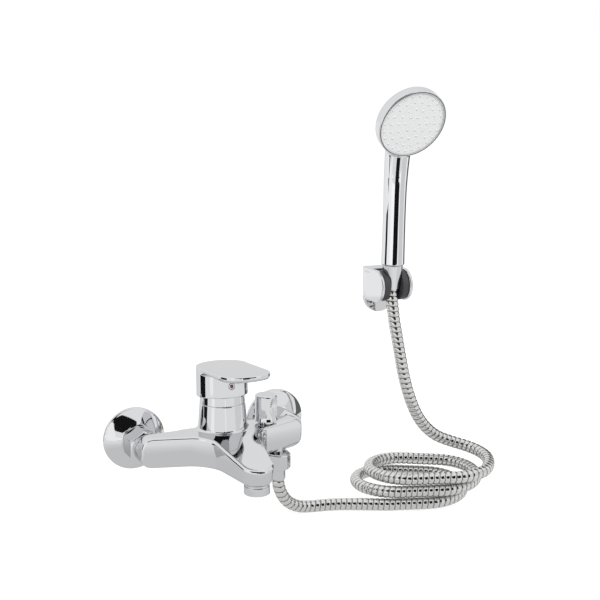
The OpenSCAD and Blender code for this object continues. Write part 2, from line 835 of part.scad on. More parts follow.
module lever_cavity() {
    difference() {
        translate([0, 0, skirt_bottom_z - skirt_r])
            cylinder(r = skirt_inner_r, h = lever_top_z - skirt_bottom_z + skirt_r);
        above_slope(roof_z, blade_slope);
        translate([0, 0, socket_bottom_z]) cylinder(r = socket_r, h = lever_top_z);
    }
}

module lever() {
    socket_w = stem_w + 2 * seat_gap;
    chrome() at_lever() difference() {
        lever_outer();
        lever_cavity();
        translate([-socket_w / 2, -socket_w / 2, socket_bottom_z - past])
            cube([socket_w, socket_w, stem_top_z - socket_bottom_z + past + 0.3]);
        translate([0, 0, screw_z]) rotate([90, 0, 0]) cylinder(r = screw_r + seat_gap, h = socket_r + past);
        translate([0, 0, screw_z]) rotate([90, 0, 0])
            translate([0, 0, socket_r + past / 2]) cylinder(r = plug_r + seat_gap, h = skirt_r);
    }
}

module lever_screw() {
    steel() at_lever() translate([0, -stem_w / 2, screw_z]) rotate([90, 0, 0]) difference() {
        cylinder(r = screw_r, h = socket_r - stem_w / 2);
        translate([0, 0, 2]) cylinder(r = screw_r / 2, h = socket_r, $fn = 6);
    }
}

module index_plug() {
    color([0.75, 0.1, 0.12]) at_lever() translate([0, -skirt_inner_r + 1, screw_z]) rotate([90, 0, 0])
        cylinder(r = plug_r, h = skirt_wall + 0.8);
}

// Aerator

module aerator_housing() {
    lip = 1.2;
    chrome() at_aerator() difference() {
        union() {
            translate([0, 0, -aerator_h]) cylinder(r = aerator_r, h = aerator_h);
            cylinder(r = aerator_thread_r, h = aerator_thread_l);
        }
        translate([0, 0, -aerator_h + lip])
            cylinder(r = aerator_insert_r + seat_gap, h = aerator_h + aerator_thread_l);
        translate([0, 0, -aerator_h - past]) cylinder(r = aerator_insert_r - 1, h = aerator_h);
    }
}

module aerator_insert() {
    lip = 1.2;
    hole_r = 0.9;
    plastic() at_aerator() translate([0, 0, -aerator_h + lip]) difference() {
        cylinder(r = aerator_insert_r, h = aerator_h + aerator_thread_l - lip);
        for (ring = [[1, 0], [6, 3.2], [12, 6.4]])
            for (i = [0:ring[0] - 1])
                rotate([0, 0, 360 * i / ring[0]]) translate([ring[1], 0, -past])
                    cylinder(r = hole_r, h = aerator_h + aerator_thread_l + past, $fn = 24);
    }
}

module aerator_washer() {
    rubber() at_aerator() translate([0, 0, aerator_thread_l])
        tube(aerator_thread_r - 0.3, aerator_thread_r - 3, 2);
}

// Diverter

module diverter_bush() {
    brass() at_diverter() difference() {
        union() {
            translate([0, 0, bush_bottom_z])
                cylinder(r = diverter_r - seat_gap, h = body_above - bush_bottom_z);
            translate([0, 0, body_above]) cylinder(r = bush_flange_r, h = bush_flange_t);
        }
        translate([0, 0, bush_bottom_z - past])
            cylinder(r = bush_bore_r, h = bush_shoulder_z - bush_bottom_z + past);
        cylinder(r = diverter_stem_r + run_gap, h = bush_top_z + past);
        for (turn = [0, 90])
            rotate([0, 0, turn]) translate([-2 * diverter_r, 0, 5.3])
                rotate([0, 90, 0]) cylinder(r = mixed_r, h = 4 * diverter_r);
        for (z = [10, 13]) translate([0, 0, z]) torus(diverter_r - 0.5, 0.65);
    }
}

module diverter_o_rings() {
    rubber() at_diverter() for (z = [10, 13]) translate([0, 0, z]) torus(diverter_r - 0.6, 0.53);
}

module diverter_stem() {
    brass() at_diverter() translate([0, 0, plunger_z + plunger_t])
        cylinder(r = diverter_stem_r, h = knob_z + knob_socket_l - plunger_z - plunger_t);
}

module diverter_plunger() {
    rubber() at_diverter() translate([0, 0, plunger_z]) cylinder(r = diverter_r - move_gap, h = plunger_t);
}

// One unbroken helix, as rings of points joined by triangles
function spring_ring(turn_deg, z, coil_r) = [
    for (k = [0:5])
        let (a = 60 * k)
        [
            (coil_r + spring_wire_r * cos(a)) * cos(turn_deg),
            (coil_r + spring_wire_r * cos(a)) * sin(turn_deg),
            z + spring_wire_r * sin(a)
        ]
];

module diverter_spring() {
    steps = spring_turns * 8;
    low = plunger_z + plunger_t + spring_wire_r;
    high = bush_shoulder_z - spring_wire_r;
    rings = [
        for (i = [0:steps])
            spring_ring(45 * i, low + (high - low) * i / steps, (bush_bore_r + diverter_stem_r) / 2)
    ];
    steel() at_diverter() swept_solid(rings);
}

module diverter_knob() {
    edge = 1;
    chrome() at_diverter() translate([0, 0, knob_z]) difference() {
        rotate_extrude() polygon([
            [0, 0], [knob_r - edge / 2, 0], [knob_r, edge / 2],
            [knob_r, knob_h - edge], [knob_r - edge, knob_h], [0, knob_h]
        ]);
        translate([0, 0, -past]) cylinder(r = diverter_stem_r + seat_gap, h = knob_socket_l + past);
        for (side = [0, 180])
            rotate([0, 0, side + 20]) translate([0, -(knob_r - scoop_depth + scoop_r), knob_h / 2])
                sphere(r = scoop_r);
    }
}

// Shower outlet

module outlet_nipple() {
    brass() at_outlet() difference() {
        union() {
            translate([0, 0, nipple_end_z]) cylinder(r = outlet_thread_r, h = outlet_l);
            translate([0, 0, -body_below]) cylinder(r = outlet_shank_r, h = outlet_shank_l);
        }
        translate([0, 0, nipple_end_z - past])
            cylinder(r = nipple_bore_r, h = outlet_l + outlet_shank_l + 2 * past);
        translate([0, 0, nipple_end_z - past]) cylinder(r = valve_r + seat_gap, h = valve_l + past);
    }
}

module check_valve() {
    plastic() at_outlet() translate([0, 0, nipple_end_z]) difference() {
        cylinder(r = valve_r, h = valve_l);
        for (i = [0:3])
            rotate([0, 0, 90 * i]) translate([2.6, 0, -past]) cylinder(r = 1.4, h = valve_l + 2 * past);
    }
}

module outlet_washer() {
    rubber() at_outlet() translate([0, 0, washer_end_z])
        tube(outlet_thread_r - 0.6, nipple_bore_r, hose_washer_t);
}

module hose_nut() {
    top_z = -body_below - 1;
    bottom_z = tail_seat_z - hose_nut_lip;
    chrome() at_outlet() difference() {
        translate([0, 0, bottom_z]) rotate([0, 0, 22.5])
            cylinder(d = hose_nut_af / cos(22.5), h = top_z - bottom_z, $fn = 8);
        translate([0, 0, tail_seat_z]) cylinder(r = outlet_thread_r + seat_gap, h = outlet_l + 5);
        translate([0, 0, bottom_z - past])
            cylinder(r = hose_r + ferrule_wall + 0.2, h = hose_nut_lip + 2 * past);
    }
}

module hose_ferrule() {
    chrome() at_outlet() difference() {
        union() {
            translate([0, 0, tail_seat_z])
                cylinder(r = outlet_thread_r - 0.6, h = washer_end_z - tail_seat_z);
            translate([0, 0, ferrule_end_z]) cylinder(r = hose_r + ferrule_wall, h = ferrule_l + 0.1);
        }
        translate([0, 0, ferrule_end_z - past]) cylinder(r = hose_r + seat_gap, h = ferrule_l + past);
        translate([0, 0, ferrule_end_z]) cylinder(r = hose_bore / 2, h = ferrule_l + 5);
    }
}

// Hose: one ribbed tube swept along its route

// A point of the coil at a distance s along it, with straight sides and round ends
function coil_point(s) =
    let (
        half_round = 180 * coil_r * PI / 180,
        lap = 2 * (coil_straight + half_round),
        t = s % lap,
        far = coil_straight / 2,
        right = (t - coil_straight) / coil_r * 180 / PI,
        left = (t - 2 * coil_straight - half_round) / coil_r * 180 / PI,
        flat = t < coil_straight
            ? [-far + t, -coil_r]
            : t < coil_straight + half_round
                ? [far + coil_r * sin(right), -coil_r * cos(right)]
                : t < 2 * coil_straight + half_round
                    ? [far - (t - coil_straight - half_round), coil_r]
                    : [-far - coil_r * sin(left), coil_r * cos(left)],
        along = flat[0] + coil_drift * s / lap
    )
    [
        coil_centre[0] + along * cos(coil_angle) - flat[1] * sin(coil_angle),
        coil_centre[1] + along * sin(coil_angle) + flat[1] * cos(coil_angle),
        coil_floor_z + coil_rise * s / lap
    ];

function coil_lap() = 2 * (coil_straight + coil_r * PI);

function curve_point(p0, p1, p2, p3, t) =
    0.5 * (2 * p1 + (p2 - p0) * t + (2 * p0 - 5 * p1 + 4 * p2 - p3) * t * t
        + (3 * p1 - p0 - 3 * p2 + p3) * t * t * t);

// A smooth curve through the points, with several points for each gap
function smooth(points, n) =
    let (last = len(points) - 1)
    [
        for (i = [0:last - 1])
            let (
                a = points[max(i - 1, 0)],
                b = points[i],
                c = points[i + 1],
                d = points[min(i + 2, last)]
            )
            for (k = [0:n - 1]) curve_point(a, b, c, d, k / n),
        points[last]
    ];

function running_length(points, i = 0, sum = 0, out = []) =
    i == len(points)
        ? out
        : let (s = i == 0 ? 0 : sum + norm(points[i] - points[i - 1]))
            running_length(points, i + 1, s, concat(out, [s]));

function route_table(points, lengths, axis) = [for (i = [0:len(points) - 1]) [lengths[i], points[i][axis]]];

function at_length(tables, s) = [lookup(s, tables[0]), lookup(s, tables[1]), lookup(s, tables[2])];

// The side direction of each ring is carried along the route, so that neighbouring rings line up
function carried_side(side, d) = unit(side - (side * d) * d);

function route_sides(dirs, i = 0, side = [1, 0, 0], out = []) =
    i == len(dirs)
        ? out
        : let (s = carried_side(side, dirs[i])) route_sides(dirs, i + 1, s, concat(out, [s]));

function ring(centre, d, side, r) =
    let (up = cross(d, side))
    [
        for (k = [0:hose_sides - 1])
            let (a = 360 * k / hose_sides)
            centre + r * (cos(a) * side + sin(a) * up)
    ];

// Triangles between two rings that start at points i and j
function band(i, j, n) = [
    for (k = [0:n - 1])
        let (m = (k + 1) % n)
        each [[i + k, i + m, j + m], [i + k, j + m, j + k]]
];

function fan(start, n, flip) = [
    for (k = [1:n - 2]) flip ? [start, start + k, start + k + 1] : [start, start + k + 1, start + k]
];

// A closed solid through a list of rings of equal size
module swept_solid(rings) {
    n = len(rings[0]);
    last = len(rings) - 1;
    points = [for (r = rings) each r];
    sides = [for (i = [0:last - 1]) each band((i + 1) * n, i * n, n)];
    polyhedron(points, concat(sides, fan(0, n, true), fan(last * n, n, false)));
}

// A closed tube between an outer and an inner list of rings
module swept_tube(outer, inner) {
    n = len(outer[0]);
    count = len(outer);
    inside = len(inner);
    points = concat([for (r = outer) each r], [for (r = inner) each r]);
    base = count * n;
    faces = concat(
        [for (i = [0:count - 2]) each band((i + 1) * n, i * n, n)],
        [for (i = [0:inside - 2]) each band(base + i * n, base + (i + 1) * n, n)],
        band(0, base, n),
        band(base + (inside - 1) * n, (count - 1) * n, n)
    );
    polyhedron(points, faces);
}

coil_points = [for (s = [0:coil_step:coil_turns * coil_lap()]) coil_point(s)];
hose_points = smooth(concat(hose_low, hose_run, coil_points, hose_rise, hose_high), 6);
hose_lengths = running_length(hose_points);
hose_length = hose_lengths[len(hose_lengths) - 1];
hose_tables = [for (axis = [0:2]) route_table(hose_points, hose_lengths, axis)];
ring_count = 2 * rib_count;
ring_places = [for (i = [0:ring_count]) hose_length * i / ring_count];
ring_centres = [for (s = ring_places) at_length(hose_tables, s)];
ring_dirs = [
    for (i = [0:ring_count])
        unit(ring_centres[min(i + 1, ring_count)] - ring_centres[max(i - 1, 0)])
];
ring_sides = route_sides(ring_dirs);

module shower_hose() {
    outer = [
        for (i = [0:ring_count])
            ring(ring_centres[i], ring_dirs[i], ring_sides[i], i % 2 == 0 ? hose_r - rib_depth : hose_r)
    ];
    inner = [
        for (i = [0:bore_every:ring_count])
            ring(ring_centres[i], ring_dirs[i], ring_sides[i], hose_bore / 2)
    ];
    color([0.74, 0.74, 0.76]) swept_tube(outer, inner);
}

// Least gap of the hose to itself, on the ring centres that lie well apart along it
function least_gap() =
    let (apart = ceil(6 * hose_d / (hose_length / ring_count)))
    min([
        for (i = [0:ring_count])
            for (j = [i + apart:1:ring_count])
                norm(ring_centres[i] - ring_centres[j])
    ]) - hose_d;

echo(hose_length = hose_length, hose_gap = least_gap());  // shower_hose

// Hand shower

module conical_nut() {
    chrome() at_handle() difference() {
        translate([0, 0, cone_end]) cylinder(r1 = cone_bottom_r, r2 = cone_top_r, h = cone_l);
        translate([0, 0, cone_shoulder]) cylinder(r = handset_thread_r + seat_gap, h = thread_depth + past);
        translate([0, 0, cone_end - past]) cylinder(r = hose_r + seat_gap, h = hose_stop - cone_end + past);
        translate([0, 0, cone_end]) cylinder(r = hose_bore / 2, h = cone_l);
    }
}

module handset_washer() {
    rubber() at_handle() translate([0, 0, cone_shoulder])
        tube(handset_thread_r - 0.3, hose_bore / 2, hose_washer_t);
}

module handset_inlet() {
    plastic() at_handle() difference() {
        union() {
            translate([0, 0, inlet_tip]) cylinder(r = handset_thread_r, h = -inlet_tip);
            cylinder(r = handle_r - handle_wall - seat_gap, h = inlet_seat_l);
        }
        translate([0, 0, inlet_tip - past])
            cylinder(r = hose_bore / 2, h = inlet_seat_l - inlet_tip + 2 * past);
    }
}

module head_form() {
    back_h = head_t - head_side;
    at_face() translate([0, 0, -head_t]) cylinder(r1 = head_r - 1.6 * back_h, r2 = head_r, h = back_h);
    at_face() translate([0, 0, -head_side]) cylinder(r = head_r, h = head_side);
}

module neck_form() {
    hull() {
        at_handle() translate([0, 0, handle_l - neck_l])
            cylinder(r = handle_r - 0.6, h = neck_l - neck_sink, $fn = 40);
        at_face() translate([0, -head_r * 0.5, -head_t + 2 * neck_sink])
            cylinder(r = head_r * 0.45, h = head_t - 7 * neck_sink, $fn = 40);
    }
}

module handset_shell() {
    cavity_r = handle_r - handle_wall;
    recess = spray_t + nozzle_h;
    chrome() difference() {
        union() {
            at_handle() cylinder(r = handle_r, h = handle_l);
            neck_form();
            head_form();
        }
        at_handle() translate([0, 0, -past]) cylinder(r = cavity_r, h = handle_l - neck_l / 2 + past);
        at_handle() drill(neck_start, neck_end, neck_bore_r);
        at_face() translate([0, 0, -head_room]) cylinder(r = spray_r - 3, h = head_t);
        at_face() translate([0, 0, -recess])
            cylinder(r = spray_r + trim_w + 2 * seat_gap, h = recess + past);
    }
}

module spray_plate() {
    color([0.86, 0.87, 0.88]) at_face() translate([0, 0, -spray_t - nozzle_h])
        cylinder(r = spray_r, h = spray_t);
}

module spray_trim_ring() {
    chrome() at_face() translate([0, 0, -spray_t - nozzle_h])
        tube(spray_r + seat_gap + trim_w, spray_r + seat_gap, spray_t + nozzle_h);
}

module spray_nozzles() {
    color([0.96, 0.96, 0.96]) at_face() translate([0, 0, -nozzle_h])
        for (ring = nozzle_rings)
            for (i = [0:ring[0] - 1])
                rotate([0, 0, 360 * i / ring[0]]) translate([ring[1], 0, 0])
                    cylinder(r = nozzle_r, h = nozzle_h, $fn = 24);
}

// Bracket

module plate_outline() {
    centre_z = bracket_bottom_z + plate_r;
    translate([0, centre_z]) circle(r = plate_r);
    translate([-plate_r, centre_z]) square([bracket_w, bracket_top_z - centre_z]);
}

module cheek_outline() {
    translate([-barrel_out, barrel_z]) circle(r = cheek_r);
    translate([-barrel_out, barrel_z - cheek_r]) square([barrel_out, 2 * cheek_r]);
}

module bracket_housing() {
    roof_out = barrel_out - barrel_r * 0.68;
    roof_t = 3.4;
    chrome() at_bracket() difference() {
        union() {
            outward(0) linear_extrude(bracket_plate_t) plate_outline();
            for (side = [-1, 1])
                translate([side * (bracket_w / 2 - cheek_t / 2), 0, 0]) rotate([90, 0, 90])
                    linear_extrude(cheek_t, center = true) cheek_outline();
            translate([-bracket_w / 2, -roof_out, bracket_top_z - roof_t])
                cube([bracket_w, roof_out, roof_t]);
        }
        for (side = [-1, 1])
            translate([0, -barrel_out, barrel_z]) pivot_shape(side, bracket_pivot_r + seat_gap, 0.1);
        wall_screw_shapes(wall_screw_r + seat_gap, wall_screw_head_r + seat_gap, -past);
    }
}

// A short pivot from inside a cheek into the barrel
module pivot_shape(side, r, longer) {
    inner = (cone_top_r + cone_bottom_r) / 2 + cone_gap + 1 - longer;
    rotate([0, 90 * side, 0])
        translate([0, 0, inner]) cylinder(r = r, h = bracket_w / 2 - 1 + longer - inner);
}

module bracket_pivots() {
    steel() at_barrel() for (side = [-1, 1]) pivot_shape(side, bracket_pivot_r, 0);
}

module bracket_barrel() {
    deep = 3 * barrel_r;
    dark_plastic() difference() {
        at_barrel() rotate([0, 90, 0]) cylinder(r = barrel_r, h = 2 * barrel_half_w, center = true);
        at_barrel() for (side = [-1, 1]) pivot_shape(side, bracket_pivot_r + run_gap, 0.3);
        at_handle() translate([0, 0, cone_end])
            cylinder(r1 = cone_bottom_r + cone_gap, r2 = cone_top_r + cone_gap, h = cone_l);
        at_handle() translate([0, 0, cone_start - past / 2]) cylinder(r = cone_top_r + cone_gap, h = deep);
        at_handle() translate([0, 0, cone_end - deep + past / 2]) cylinder(r = slot_w / 2, h = deep);
        at_handle() translate([-slot_w / 2, -deep, -deep]) cube([slot_w, deep, 2 * deep]);
    }
}

module wall_screw_shapes(r, head_r, start) {
    for (side = [-1, 1]) translate([0, 0, barrel_z + side * wall_screw_spacing / 2]) {
        outward(-wall_screw_l)
            cylinder(r = r, h = wall_screw_l + bracket_plate_t - wall_screw_head_t + 0.1);
        outward(bracket_plate_t - wall_screw_head_t) cylinder(r = head_r, h = wall_screw_head_t - start);
    }
}

module wall_screws() {
    steel() at_bracket() wall_screw_shapes(wall_screw_r, wall_screw_head_r, 0);
}

module wall_plugs() {
    plastic() at_bracket() for (side = [-1, 1])
        translate([0, 0, barrel_z + side * wall_screw_spacing / 2])
            outward(-wall_screw_l) tube(wall_screw_r + 1.2, wall_screw_r + seat_gap, wall_screw_l);
}

body();
escutcheon(-1);  // left_escutcheon
eccentric_union(-1);  // left_eccentric_union
union_nut(-1);  // left_union_nut
union_seal(-1);  // left_union_seal
inlet_tail(-1);  // left_inlet_tail
escutcheon(1);  // right_escutcheon
eccentric_union(1);  // right_eccentric_union
union_nut(1);  // right_union_nut
union_seal(1);  // right_union_seal
inlet_tail(1);  // right_inlet_tail
cartridge_housing();
cartridge_base_seals();
fixed_disc();
moving_disc();
disc_carrier();
cartridge_rotor();
lift_pin();
lever_stem();
retaining_nut();
cap_ring();
lever();
lever_screw();
index_plug();
aerator_housing();
aerator_insert();
aerator_washer();
diverter_bush();
diverter_o_rings();
diverter_stem();
diverter_plunger();
diverter_spring();
diverter_knob();
outlet_nipple();
check_valve();
outlet_washer();
hose_nut();
hose_ferrule();
shower_hose();
conical_nut();
handset_washer();
handset_shell();
handset_inlet();
spray_plate();
spray_trim_ring();
spray_nozzles();
bracket_housing();
bracket_barrel();
bracket_pivots();
wall_screws();
wall_plugs();
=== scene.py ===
"""Bath shower mixer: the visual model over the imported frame.

Lengths are written in millimetres, as in the part's source, and turned into metres when a mesh is made.
The hose's route and the stage are written in metres.
Main forms are signed distance functions: negative inside, positive outside.
Their meshes are made on grids: a STEP value is a grid's step, and a BOX value is the space it covers.
"""
import json
import math
from itertools import product

import bpy
import numpy as np
from mathutils import Matrix


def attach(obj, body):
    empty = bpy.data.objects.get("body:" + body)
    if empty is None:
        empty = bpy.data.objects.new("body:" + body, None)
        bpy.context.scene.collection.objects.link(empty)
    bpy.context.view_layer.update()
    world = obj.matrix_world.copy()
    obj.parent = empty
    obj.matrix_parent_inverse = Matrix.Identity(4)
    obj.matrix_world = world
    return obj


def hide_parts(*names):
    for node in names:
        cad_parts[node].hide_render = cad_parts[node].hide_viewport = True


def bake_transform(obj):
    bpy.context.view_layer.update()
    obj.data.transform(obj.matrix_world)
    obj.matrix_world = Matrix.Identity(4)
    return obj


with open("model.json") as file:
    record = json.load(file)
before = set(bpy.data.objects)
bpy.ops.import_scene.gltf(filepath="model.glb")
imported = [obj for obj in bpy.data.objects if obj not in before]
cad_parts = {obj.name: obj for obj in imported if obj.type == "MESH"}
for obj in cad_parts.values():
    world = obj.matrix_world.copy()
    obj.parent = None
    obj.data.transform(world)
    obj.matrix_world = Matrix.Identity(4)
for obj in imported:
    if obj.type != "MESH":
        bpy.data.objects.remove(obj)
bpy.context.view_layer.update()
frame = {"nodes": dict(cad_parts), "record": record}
MM = 0.001

# Camera, fitted to the photograph
CAMERA_AT = (-0.410, -1.082, 0.370)
CAMERA_PAN = math.radians(-25.47)
CAMERA_TILT = math.radians(11.74)
CAMERA_LENS = 72.0
CAMERA_SENSOR = 36.0
CAMERA_FAR = 50.0

# Body
INLET_X = 75.0
BODY_BACK = -38.0
BODY_END = 83.0
BODY_TOP = 15.0
BODY_BOTTOM = -17.3
ARM_END_Y = -52.6
ARM_SWEEP = math.radians(17.4)
ARM_CORNER_R = 12.0
SPOUT_FILLET_R = 15.0
SPOUT_TIP_Y = -130.0
SPOUT_TIP_R = 16.0
SPOUT_FLARE = math.radians(8.39)
SPOUT_TIP_TOP = 1.0
SPOUT_SLOPE_Y = -71.4
TOWER_Y = -47.5
TOWER_FOOT_R = 23.9
TOWER_TOP_R = 21.9
TOWER_TOP = 40.0
BODY_TOP_EDGE = 3.0
BODY_LOW_EDGE = 7.0
BODY_END_EDGE = 2.0
BODY_STEP = 0.8
FRONT_CROWN = 0.005
CROWN_Z = 6.0
CROWN_FADE = 10.0
SLOPE_BLEND = 1.5
TOWER_PLAN_FILLET = 5.0
TOWER_FILLET = 3.0
TOWER_RIM_EDGE = 0.5
TOWER_WELL_R = 17.6
TOWER_WELL_Z = 4.0
TOWER_MOUTH_R = 19.0
TOWER_MOUTH_Z = 34.0
CHAMBER_R = 6.0
CHAMBER_Z = -8.0
AERATOR_HOLE_R = 11.05
AERATOR_HOLE_H = 10.0

# Lever, measured from the tower's axis
SKIRT_R = 24.8
SKIRT_INNER_R = 23.4
SKIRT_BOTTOM = 47.4
LEVER_TOP = 76.7
LEVER_RISE = math.radians(5.0)
BLADE_T = 5.6
BLADE_REACH = 77.0
BLADE_FRONT_R = 40.0
BLADE_SIDE = 24.3
BLADE_SIDE_Y = -4.7
BLADE_TAPER = -0.006
BLADE_CORNER_R = 12.0
BLADE_LOW_EDGE = 3.4
LEVER_EDGE = 1.1
LEVER_STEP = 0.6
LEVER_HALF = 25.0
LEVER_SPAN = (45.0, 84.0)
SKIRT_EDGE = 0.6
SKIRT_FILLET = 2.5
FILLET_DEPTH = 2.5
FILLET_FADE = 3.0
FILLET_LEAST = 0.001
STEM_HALF = 4.05
STEM_TOP = 66.3
SOCKET_R = 9.0
SOCKET_BOTTOM = 54.0
PLUG_R = 2.95
PLUG_Z = 61.0
PLUG_HOLE_Y = -15.0
PLUG_SEAT_Y = -22.4
PLUG_SIDES = 48

# Diverter and shower outlet
DIVERTER = (43.0, -54.0)
OUTLET = (55.5, -54.0)
KNOB_R = 11.75
KNOB_Z = 17.3
KNOB_H = 26.0
KNOB_STEP = 0.45
KNOB_BOX = ((-12.0, -12.0, 0.0), (12.0, 12.0, KNOB_H))
KNOB_FLARE = 0.9
KNOB_FLARE_H = 5.0
KNOB_TOP_EDGE = 2.0
KNOB_LOW_EDGE = 0.8
KNOB_TURN = math.radians(20)
KNOB_BORE_R = 2.55
KNOB_BORE_H = 13.0
SCOOP_R = 10.2
SCOOP_OUT = 7.6
SCOOP_Z = 15.0
SCOOP_STRETCH = 0.62
SCOOP_EDGE = 0.8

# Nuts
NUT_CHAMFER = 0.97
CHAMFER_SLOPE = 1.73
NUT_BLEND = 0.5
NUT_EDGE = 0.4
NUT_LIP = 2.0
NUT_STEP = 0.5
UNION_FLATS = 28.8
UNION_LOW = 14.3
UNION_HIGH = 37.9
UNION_BORE_R = 13.3
UNION_MOUTH_R = 10.02
HOSE_NUT_FLATS = 23.4
HOSE_NUT_LOW = -33.5
HOSE_NUT_HIGH = -18.3
HOSE_NUT_BORE_R = 10.53
HOSE_NUT_CORNERS = 8

# Outlines of turned pieces as (radius, height), with the rounding of their corners
COVER_BACK = ((13.3, 12.8), (15.3, 12.8), (29.6, 2.7), (29.6, 0), (30.8, 0), (30.8, 3.4))
COVER_EDGE = 0.7
COVER_FRONT = ((29.6, 4.4), (16.8, 13.7))
COVER_BULGE = 0.35
COVER_RIM = ((16.0, 14.0), (13.3, 14.0))
TOWER_RING = ((19.0, 0), (21.85, 0), (21.2, 10), (19.0, 10))
TOWER_RING_EDGE = 0.5
INDEX_RIM = ((0, 0), (2.85, 0), (2.85, 2.3), (1.75, 2.3), (1.75, 1.4), (0, 1.4))
INDEX_RIM_EDGE = 0.3
INDEX_DOT = ((0, 1.45), (1.5, 1.45), (1.4, 1.75), (0.8, 1.95), (0, 2.0))
AERATOR = ((8.4, -7.5), (12.0, -7.5), (12.0, 0), (11.0, 0), (11.0, 6), (9.45, 6), (9.45, -6.3), (8.4, -6.3))
AERATOR_EDGE = 0.6
FERRULE = (
    (6.3, -44.5), (7.45, -44.5), (7.45, -31.5), (9.88, -31.5),
    (9.88, -30), (4.0, -30), (4.0, -31.5), (6.3, -31.5),
)
FERRULE_EDGE = 0.5

# Bracket
BRACKET_X = 196.0
BRACKET_HALF = 18.5
BRACKET_TOP = 150.6
BRACKET_LOW_CENTRE = 120.0
PLATE_T = 5.0
CHEEK_T = 4.0
CHEEK_R = 17.0
BARREL_OUT = -25.0
BARREL_Z = 133.6
BARREL_R = 16.0
BARREL_HALF = 14.1
ROOF_OUT = -14.12
ROOF_T = 3.4
SLOT_HALF = 7.2
PLATE_EDGE = 1.0
CHEEK_EDGE = 1.2
BRACKET_FILLET = 2.0
BARREL_EDGE = 1.0
SEAT_CLEAR = 0.3
SEAT_FILLET = 0.6
SEAT_EDGE = 0.9
BRACKET_STEP = 0.6
BRACKET_BOX = ((177.0, -42.0, 98.5), (215.0, 0.0, 151.0))
BARREL_STEP = 0.5
BARREL_BOX = ((181.0, -42.0, 117.0), (211.0, -8.0, 150.0))

# Hand shower, along the handle from its lower end
HANDLE_AT = (196.0, -30.4, 156.0)
HANDLE_LEAN = math.radians(1.8)
HANDLE_R = 12.0
HANDLE_WAIST = 0.4
HANDLE_WAIST_L = 90.0
HANDLE_LOW_EDGE = 1.2
STALK_END = 128.0
STALK_END_EDGE = 6.0
NECK_START = 70.0
NECK_L = 45.0
NECK_LEAN = 3.0
NECK_GROW = 1.0
HEAD_AT = (0.0, -31.0, 144.5)
HEAD_TILT = math.radians(25.0)
HEAD_R = 36.5
HEAD_T = 21.0
HEAD_SIDE = 12.0
HEAD_BACK_EDGE = 4.0
HEAD_FRONT_EDGE = 0.9
HEAD_CLEAR = 0.3
HEAD_STEP = 0.75
HEAD_BOX = ((-38.0, -56.0, 0.0), (38.0, 13.0, 190.0))
NECK_FILLET = 11.0
NECK_FILLET_LEAST = 1.0
NECK_FADE = 20.0
NECK_STOP = 0.6
FACE_EDGE = 0.5
FACE_R = 35.0
FACE_DEPTH = 4.0
FACE_SINK = 1.0
NOZZLE_RINGS = ((6, 8.0), (12, 16.0), (18, 24.0), (24, 30.5))
NOZZLE_DOME = ((1.3, -0.1), (1.2, 0.08), (0.9, 0.2), (0.5, 0.28), (0.01, 0.3))
NOZZLE_SIDES = 14
# A thin dark ring round the spray face: painted shade in the groove at the trim ring's edge
RIM_SHADE_R = 0.42
RIM_SHADE_SINK = 0.15
RIM_SHADE_POINTS = 10
RIM_SHADE_SIDES = 128
CONE_TOP = -0.3
CONE_BOTTOM = -25.3
CONE_TOP_R = 10.6
CONE_BOTTOM_R = 7.3
CONE_BORES = ((8.45, -7.3), (4.0, -7.3), (4.0, -11.3), (6.3, -11.3))
CONE_EDGE = 0.5

# Hose route in metres: the same points as in the part's source
HOSE_R = 0.00625
HOSE_RIBS = 214
RINGS_PER_RIB = 10
HOSE_SIDES = 20
RIB_DEPTH = 0.0008
GROOVE_SHARE = 0.3
# Share of a rib, at the groove's bottom, whose faces get painted shade
GROOVE_SHADE_SHARE = 0.08
HOSE_LOW = [(0.0555, -0.054, -0.0315), (0.0555, -0.054, -0.038), (0.0555, -0.054, -0.0445)]
HOSE_RUN = [
    (0.0565, -0.0538, -0.053), (0.0605, -0.053, -0.063), (0.068, -0.0515, -0.0725), (0.080, -0.050, -0.0795),
    (0.094, -0.050, -0.082), (0.112, -0.054, -0.082), (0.130, -0.061, -0.082),
]
HOSE_RISE = [
    (0.277, -0.0955, -0.0505), (0.285, -0.080, -0.049), (0.285, -0.064, -0.047),
    (0.278, -0.050, -0.0445), (0.2655, -0.040, -0.0405), (0.2505, -0.035, -0.0335),
    (0.2375, -0.034, -0.0225), (0.2265, -0.035, -0.0085), (0.218, -0.0365, 0.0075),
    (0.2115, -0.037, 0.0245), (0.207, -0.036, 0.0425), (0.204, -0.0345, 0.0605),
    (0.2012, -0.0325, 0.079), (0.1984, -0.0308, 0.0975),
]
HOSE_STOPS = (-0.0343, -0.0253, -0.0183, -0.01135)
COIL_CENTRE = (0.199, -0.051)
COIL_ANGLE = math.radians(-25.5)
COIL_FLOOR = -0.082
COIL_R = 0.040
COIL_STRAIGHT = 0.038
COIL_RISE = 0.0136
COIL_DRIFT = 0.014
COIL_TURNS = 2.24
COIL_STEP = 0.012
HOSE_SPLIT_Z = 0.104
HOSE_END_RINGS = 60
PATH_STEP = 4

# Stage, in metres: a tone is 0 for black, 1 for white and more for a lit box
SQUARE = ((-1, -1), (1, -1), (1, 1), (-1, 1))
FLOOR_GAP = 0.0001
FLOOR_Z = COIL_FLOOR - HOSE_R - FLOOR_GAP
FLOOR_SIZE = 12.0
FLOOR_TONE = 0.3
FLOOR_GLOW = 0.8
SHADE_CENTRE = (0.0, -0.07)
SHADE_REACH = 1.0
SHADE_SIDES = 48
SHADE_LIFT = 0.0005
SHADE_START = 0.2
SHADE_END = 0.36
SHADE_NEAR = 0.72
SHADE_FAR = 0.96
WORLD_SEEN = 1.0
WORLD_LIGHT = 0.95
KEY_AT = (-0.9, -1.3, 1.4)
KEY_POWER = 22.0
FILL_AT = (1.3, -1.1, 0.9)
FILL_POWER = 10.0
LAMP_SIZE = 0.9
LAMP_TARGET = (0.1, -0.05, 0.1)
BLACK_BOARD = 0.01
BOARD_LIFT = 0.001
TOWER_PLACE = (0.0, -0.0475)
